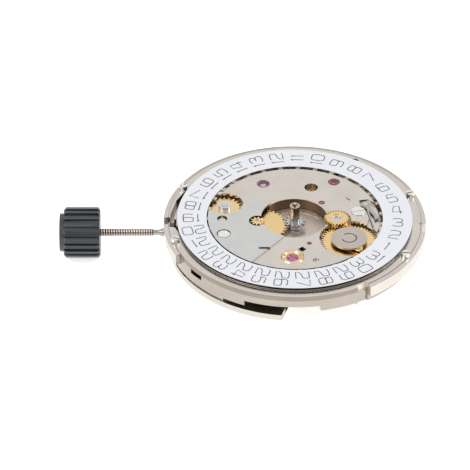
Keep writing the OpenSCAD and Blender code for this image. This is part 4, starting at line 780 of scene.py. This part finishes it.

# %% [markdown]
# The roots of the thread are painted dark, as the shade that falls in them, while the
# crests keep the thread's own colour. The shade could be painted turn by turn, but the
# depth already tells root from crest: the material measures the distance from the stem's
# axis, and turns it into that change.

# %% Steel thread
ROOT_SHADE_R, FULL_COLOUR_R = 0.335, 0.375  # dark below the one radius, bright above the other
thread_steel = satin_metal(
    "threaded_stem_steel", "#d6cac3",
    roughness=0.2, grain_mm=0.12, stretch=(1.4, 0.05, 0.05), depth_um=0.4,
)
tree, shader, place = insides(thread_steel)
split = add(tree, "SeparateXYZ", {"Vector": place})
lift = add(tree, "Math", {0: split.outputs["Z"], 1: STEM_Z * MM}, operation="SUBTRACT")
spoke = add(tree, "CombineXYZ", {"Y": split.outputs["Y"], "Z": lift.outputs[0]})
reach = add(tree, "VectorMath", {0: spoke.outputs[0]}, operation="LENGTH")
crest = add(
    tree, "MapRange",
    {"Value": reach.outputs["Value"], "From Min": ROOT_SHADE_R * MM, "From Max": FULL_COLOUR_R * MM},
)
own = shader.inputs["Base Color"].links[0].from_socket
# The dark root colour is painted shade; the crests keep the thread's own colour.
root_shaded = add(
    tree, "Mix", {"Factor": crest.outputs[0], COLOUR_A: linear("#6b584e"), COLOUR_B: own},
    data_type="RGBA",
)
tree.links.new(root_shaded.outputs[COLOUR_OUT], shader.inputs["Base Color"])
thread_mesh = thread_points.reshape(-1, 3) * MM
thread = mesh_piece("stem_thread", thread_mesh, thread_faces, thread_steel, smooth=True)
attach(thread, "stem")
print("nodes in the thread's material:", len(tree.nodes))

# %% [markdown]
# ## Setting knob
#
# A plain ribbed knob of black moulded plastic is screwed on the stem to set the hands
# before the movement is in a case. Moulded plastic is not quite matt. It leaves the mould
# along its axis, so the wall of the mould draws fine lines along every rib. The ribs are
# in the exact model, and the lines are far too fine for a mesh, so the material draws
# them as a noise stretched along the stem, in its roughness and bump. The same noise
# paints lighter grey streaks into the colour: painted highlights along the ribs. Real
# lines are some hundredths of a millimetre apart. Here they are 0.28 mm apart, so that
# they show. The small end disc is paler.

# %% Colour of the moulded plastic, with painted highlight streaks
LINE_MM, LINE_STRETCH = 0.28, (0.04, 1, 1)
HIGHLIGHT_LOW, HIGHLIGHT_HIGH = 0.38, 0.66  # the noise from here to there goes from black to grey
DISC_X = -22.86  # where the small end disc starts, in mm
plastic, tree, shader, place = new_material("moulded_black_plastic")
drawn = add(
    tree, "Mapping", {"Vector": place, "Scale": [s / (LINE_MM * MM) for s in LINE_STRETCH]},
)
lines = add(tree, "TexNoise", {"Vector": drawn.outputs[0], "Scale": 1.0, "Detail": DETAIL})
highlight_streak = add(
    tree, "MapRange",
    {"Value": lines.outputs["Fac"], "From Min": HIGHLIGHT_LOW, "From Max": HIGHLIGHT_HIGH},
)
# The grey end of this mix is painted highlight along the ribs.
black = add(
    tree, "Mix",
    {"Factor": highlight_streak.outputs[0], COLOUR_A: linear("#101215"), COLOUR_B: linear("#474a52")},
    data_type="RGBA",
)
split = add(tree, "SeparateXYZ", {"Vector": place})
# Past DISC_X the plastic is given a paler colour: the end disc.
on_end_disc = add(tree, "Math", {0: split.outputs["X"], 1: DISC_X * MM}, operation="LESS_THAN")
worn = add(
    tree, "Mix",
    {
        "Factor": on_end_disc.outputs[0],
        COLOUR_A: black.outputs[COLOUR_OUT], COLOUR_B: linear("#453f3e"),
    },
    data_type="RGBA",
)
tree.links.new(worn.outputs[COLOUR_OUT], shader.inputs["Base Color"])

# %% Gloss and lines of the moulded plastic
PLASTIC_SMOOTH, PLASTIC_ROUGH, PLASTIC_SPECULAR, LINE_UM = 0.22, 0.36, 0.65, 6
rough = add(
    tree, "MapRange",
    {"Value": lines.outputs["Fac"], "To Min": PLASTIC_SMOOTH, "To Max": PLASTIC_ROUGH},
)
bump = add(tree, "Bump", {"Height": lines.outputs["Fac"], "Distance": LINE_UM * UM})
shader.inputs["Specular IOR Level"].default_value = PLASTIC_SPECULAR
tree.links.new(rough.outputs[0], shader.inputs["Roughness"])
tree.links.new(bump.outputs[0], shader.inputs["Normal"])
paint(["setting_knob"], plastic)
print("painted nodes:", len(painted), "left bare:", sorted(set(NODES) - painted))

# %% [markdown]
# ## Floor
#
# The object lies on a plain white table. More light would make the table white too, but
# it would also wash out the metal. So to the camera, and in reflections, the floor glows
# almost white by itself, and the light that falls on it makes up the rest, so that the
# shadow under the movement stays.

# %% White floor
FLOOR_HALF, FLOOR_GLOW = 1.5, 0.7  # half a side in metres, and the floor's own share of white
FLOOR_ROUGHNESS = 0.9
CORNERS = ((-1, -1), (1, -1), (1, 1), (-1, 1))
table, tree, shader, place = new_material("white_table")
shader.inputs["Base Color"].default_value = linear("#f2f2f2")
shader.inputs["Roughness"].default_value = FLOOR_ROUGHNESS
ray = add(tree, "LightPath").outputs
seen = add(tree, "Math", {0: ray["Is Camera Ray"], 1: ray["Is Glossy Ray"]}, operation="MAXIMUM")
seen = add(tree, "Math", {0: seen.outputs[0], 1: ray["Is Transmission Ray"]}, operation="MAXIMUM")
glow = add(tree, "Math", {0: seen.outputs[0], 1: FLOOR_GLOW}, operation="MULTIPLY")
white_glow = add(tree, "Emission", {"Color": (1, 1, 1, 1), "Strength": glow.outputs[0]})
lit = add(tree, "AddShader", {0: shader.outputs[0], 1: white_glow.outputs[0]})
surface = {node.type: node for node in tree.nodes}["OUTPUT_MATERIAL"].inputs["Surface"]
tree.links.new(lit.outputs[0], surface)
floor_z = cad_box[0].z
floor_points = [(sx * FLOOR_HALF, sy * FLOOR_HALF, floor_z) for sx, sy in CORNERS]
floor = mesh_piece("floor", floor_points, [[0, 1, 2, 3]], table)
print("floor height in mm:", round(floor_z / MM, 3))

# %% [markdown]
# ## Light
#
# A white tent lights the object evenly, and two soft lamps give it direction. The tent
# could be a real shell of glowing faces, but the world does the same with less noise. In
# reflections it is darker near the ground, where a real tent has its opening, so that
# bevels, tubes and screw heads draw dark lines beside bright ones.

# %% Bands of the tent, from the level to straight up
TENT_BANDS = ((0.0, 0.92), (0.12, 0.45), (0.3, 0.6), (0.45, 1.0), (0.75, 1.0), (1.0, 0.8))
world = bpy.data.worlds.new("white_tent")
bpy.context.scene.world = world
world.use_nodes = True
tent = world.node_tree
tent.nodes.clear()
upward = add(tent, "SeparateXYZ", {"Vector": add(tent, "TexCoord").outputs["Generated"]})
bands = add(tent, "ValToRGB", {"Fac": upward.outputs["Z"]})
stops = bands.color_ramp.elements  # a new ramp already has its stops at 0 and at 1
for place_at, _ in TENT_BANDS[1:-1]:
    stops.new(place_at)
for stop, (_, level) in zip(stops, TENT_BANDS):
    stop.color = (level, level, level, 1)
print("bands of the tent:", [round(stop.position, 2) for stop in stops])

# %% What the tent shows to reflections, to soft light and to the camera
TENT_FILL = 0.55  # how strongly the tent lights what is not a mirror
WHITE = (1, 1, 1, 1)
ray = add(tent, "LightPath").outputs
mirrored = add(
    tent, "Math", {0: ray["Is Glossy Ray"], 1: ray["Is Transmission Ray"]}, operation="MAXIMUM",
)
reflection = add(tent, "Background", {"Color": bands.outputs["Color"], "Strength": 1.0})
fill = add(tent, "Background", {"Color": WHITE, "Strength": TENT_FILL})
backdrop = add(tent, "Background", {"Color": WHITE, "Strength": 1.0})
light = add(
    tent, "MixShader", {0: mirrored.outputs[0], 1: fill.outputs[0], 2: reflection.outputs[0]},
)
whole = add(
    tent, "MixShader", {0: ray["Is Camera Ray"], 1: light.outputs[0], 2: backdrop.outputs[0]},
)
add(tent, "OutputWorld", {"Surface": whole.outputs[0]})
print("nodes of the tent:", len(tent.nodes))


# %% Lamps
def soft_lamp(name, place, size, watts):
    """A square area lamp at a place in metres, turned towards the movement."""
    lamp = bpy.data.lights.new(name, "AREA")
    lamp.size, lamp.energy = size, watts
    stand = bpy.data.objects.new(name, lamp)
    bpy.context.scene.collection.objects.link(stand)
    stand.location = place
    stand.rotation_euler = (-stand.location).to_track_quat("-Z", "Y").to_euler()
    return stand


key = soft_lamp("key_softbox", place=(-0.22, -0.12, 0.34), size=0.22, watts=0.55)
side = soft_lamp("side_softbox", place=(0.3, 0.05, 0.25), size=0.2, watts=0.3)
print("lamps from the movement, in metres:", [round(s.location.length, 2) for s in (key, side)])

# %% [markdown]
# ## Camera
#
# The photograph looks down at the dial side at about 36 degrees from the level, from
# rather far away with a long lens. A short lens close by would show the same parts, but
# would make the near rim too wide, so the distance is matched first, and then the lens.

# %% Camera
LENS_MM, SENSOR_MM = 270.4, 36.0
CAMERA_AT_MM = (-5.905, -282.399, 205.164)
CAMERA_TILT = 53.7  # degrees up from straight down
camera = bpy.data.cameras.new("camera")
camera.lens, camera.sensor_width = LENS_MM, SENSOR_MM
camera.clip_start, camera.clip_end = 0.02, 10.0
viewer = bpy.data.objects.new("camera", camera)
bpy.context.scene.collection.objects.link(viewer)
viewer.location = [c * MM for c in CAMERA_AT_MM]
viewer.rotation_euler = (np.radians(CAMERA_TILT), 0, 0)
bpy.context.scene.camera = viewer
bpy.context.scene.view_settings.view_transform = "Standard"
print("camera from the movement, in mm:", round(viewer.location.length / MM))
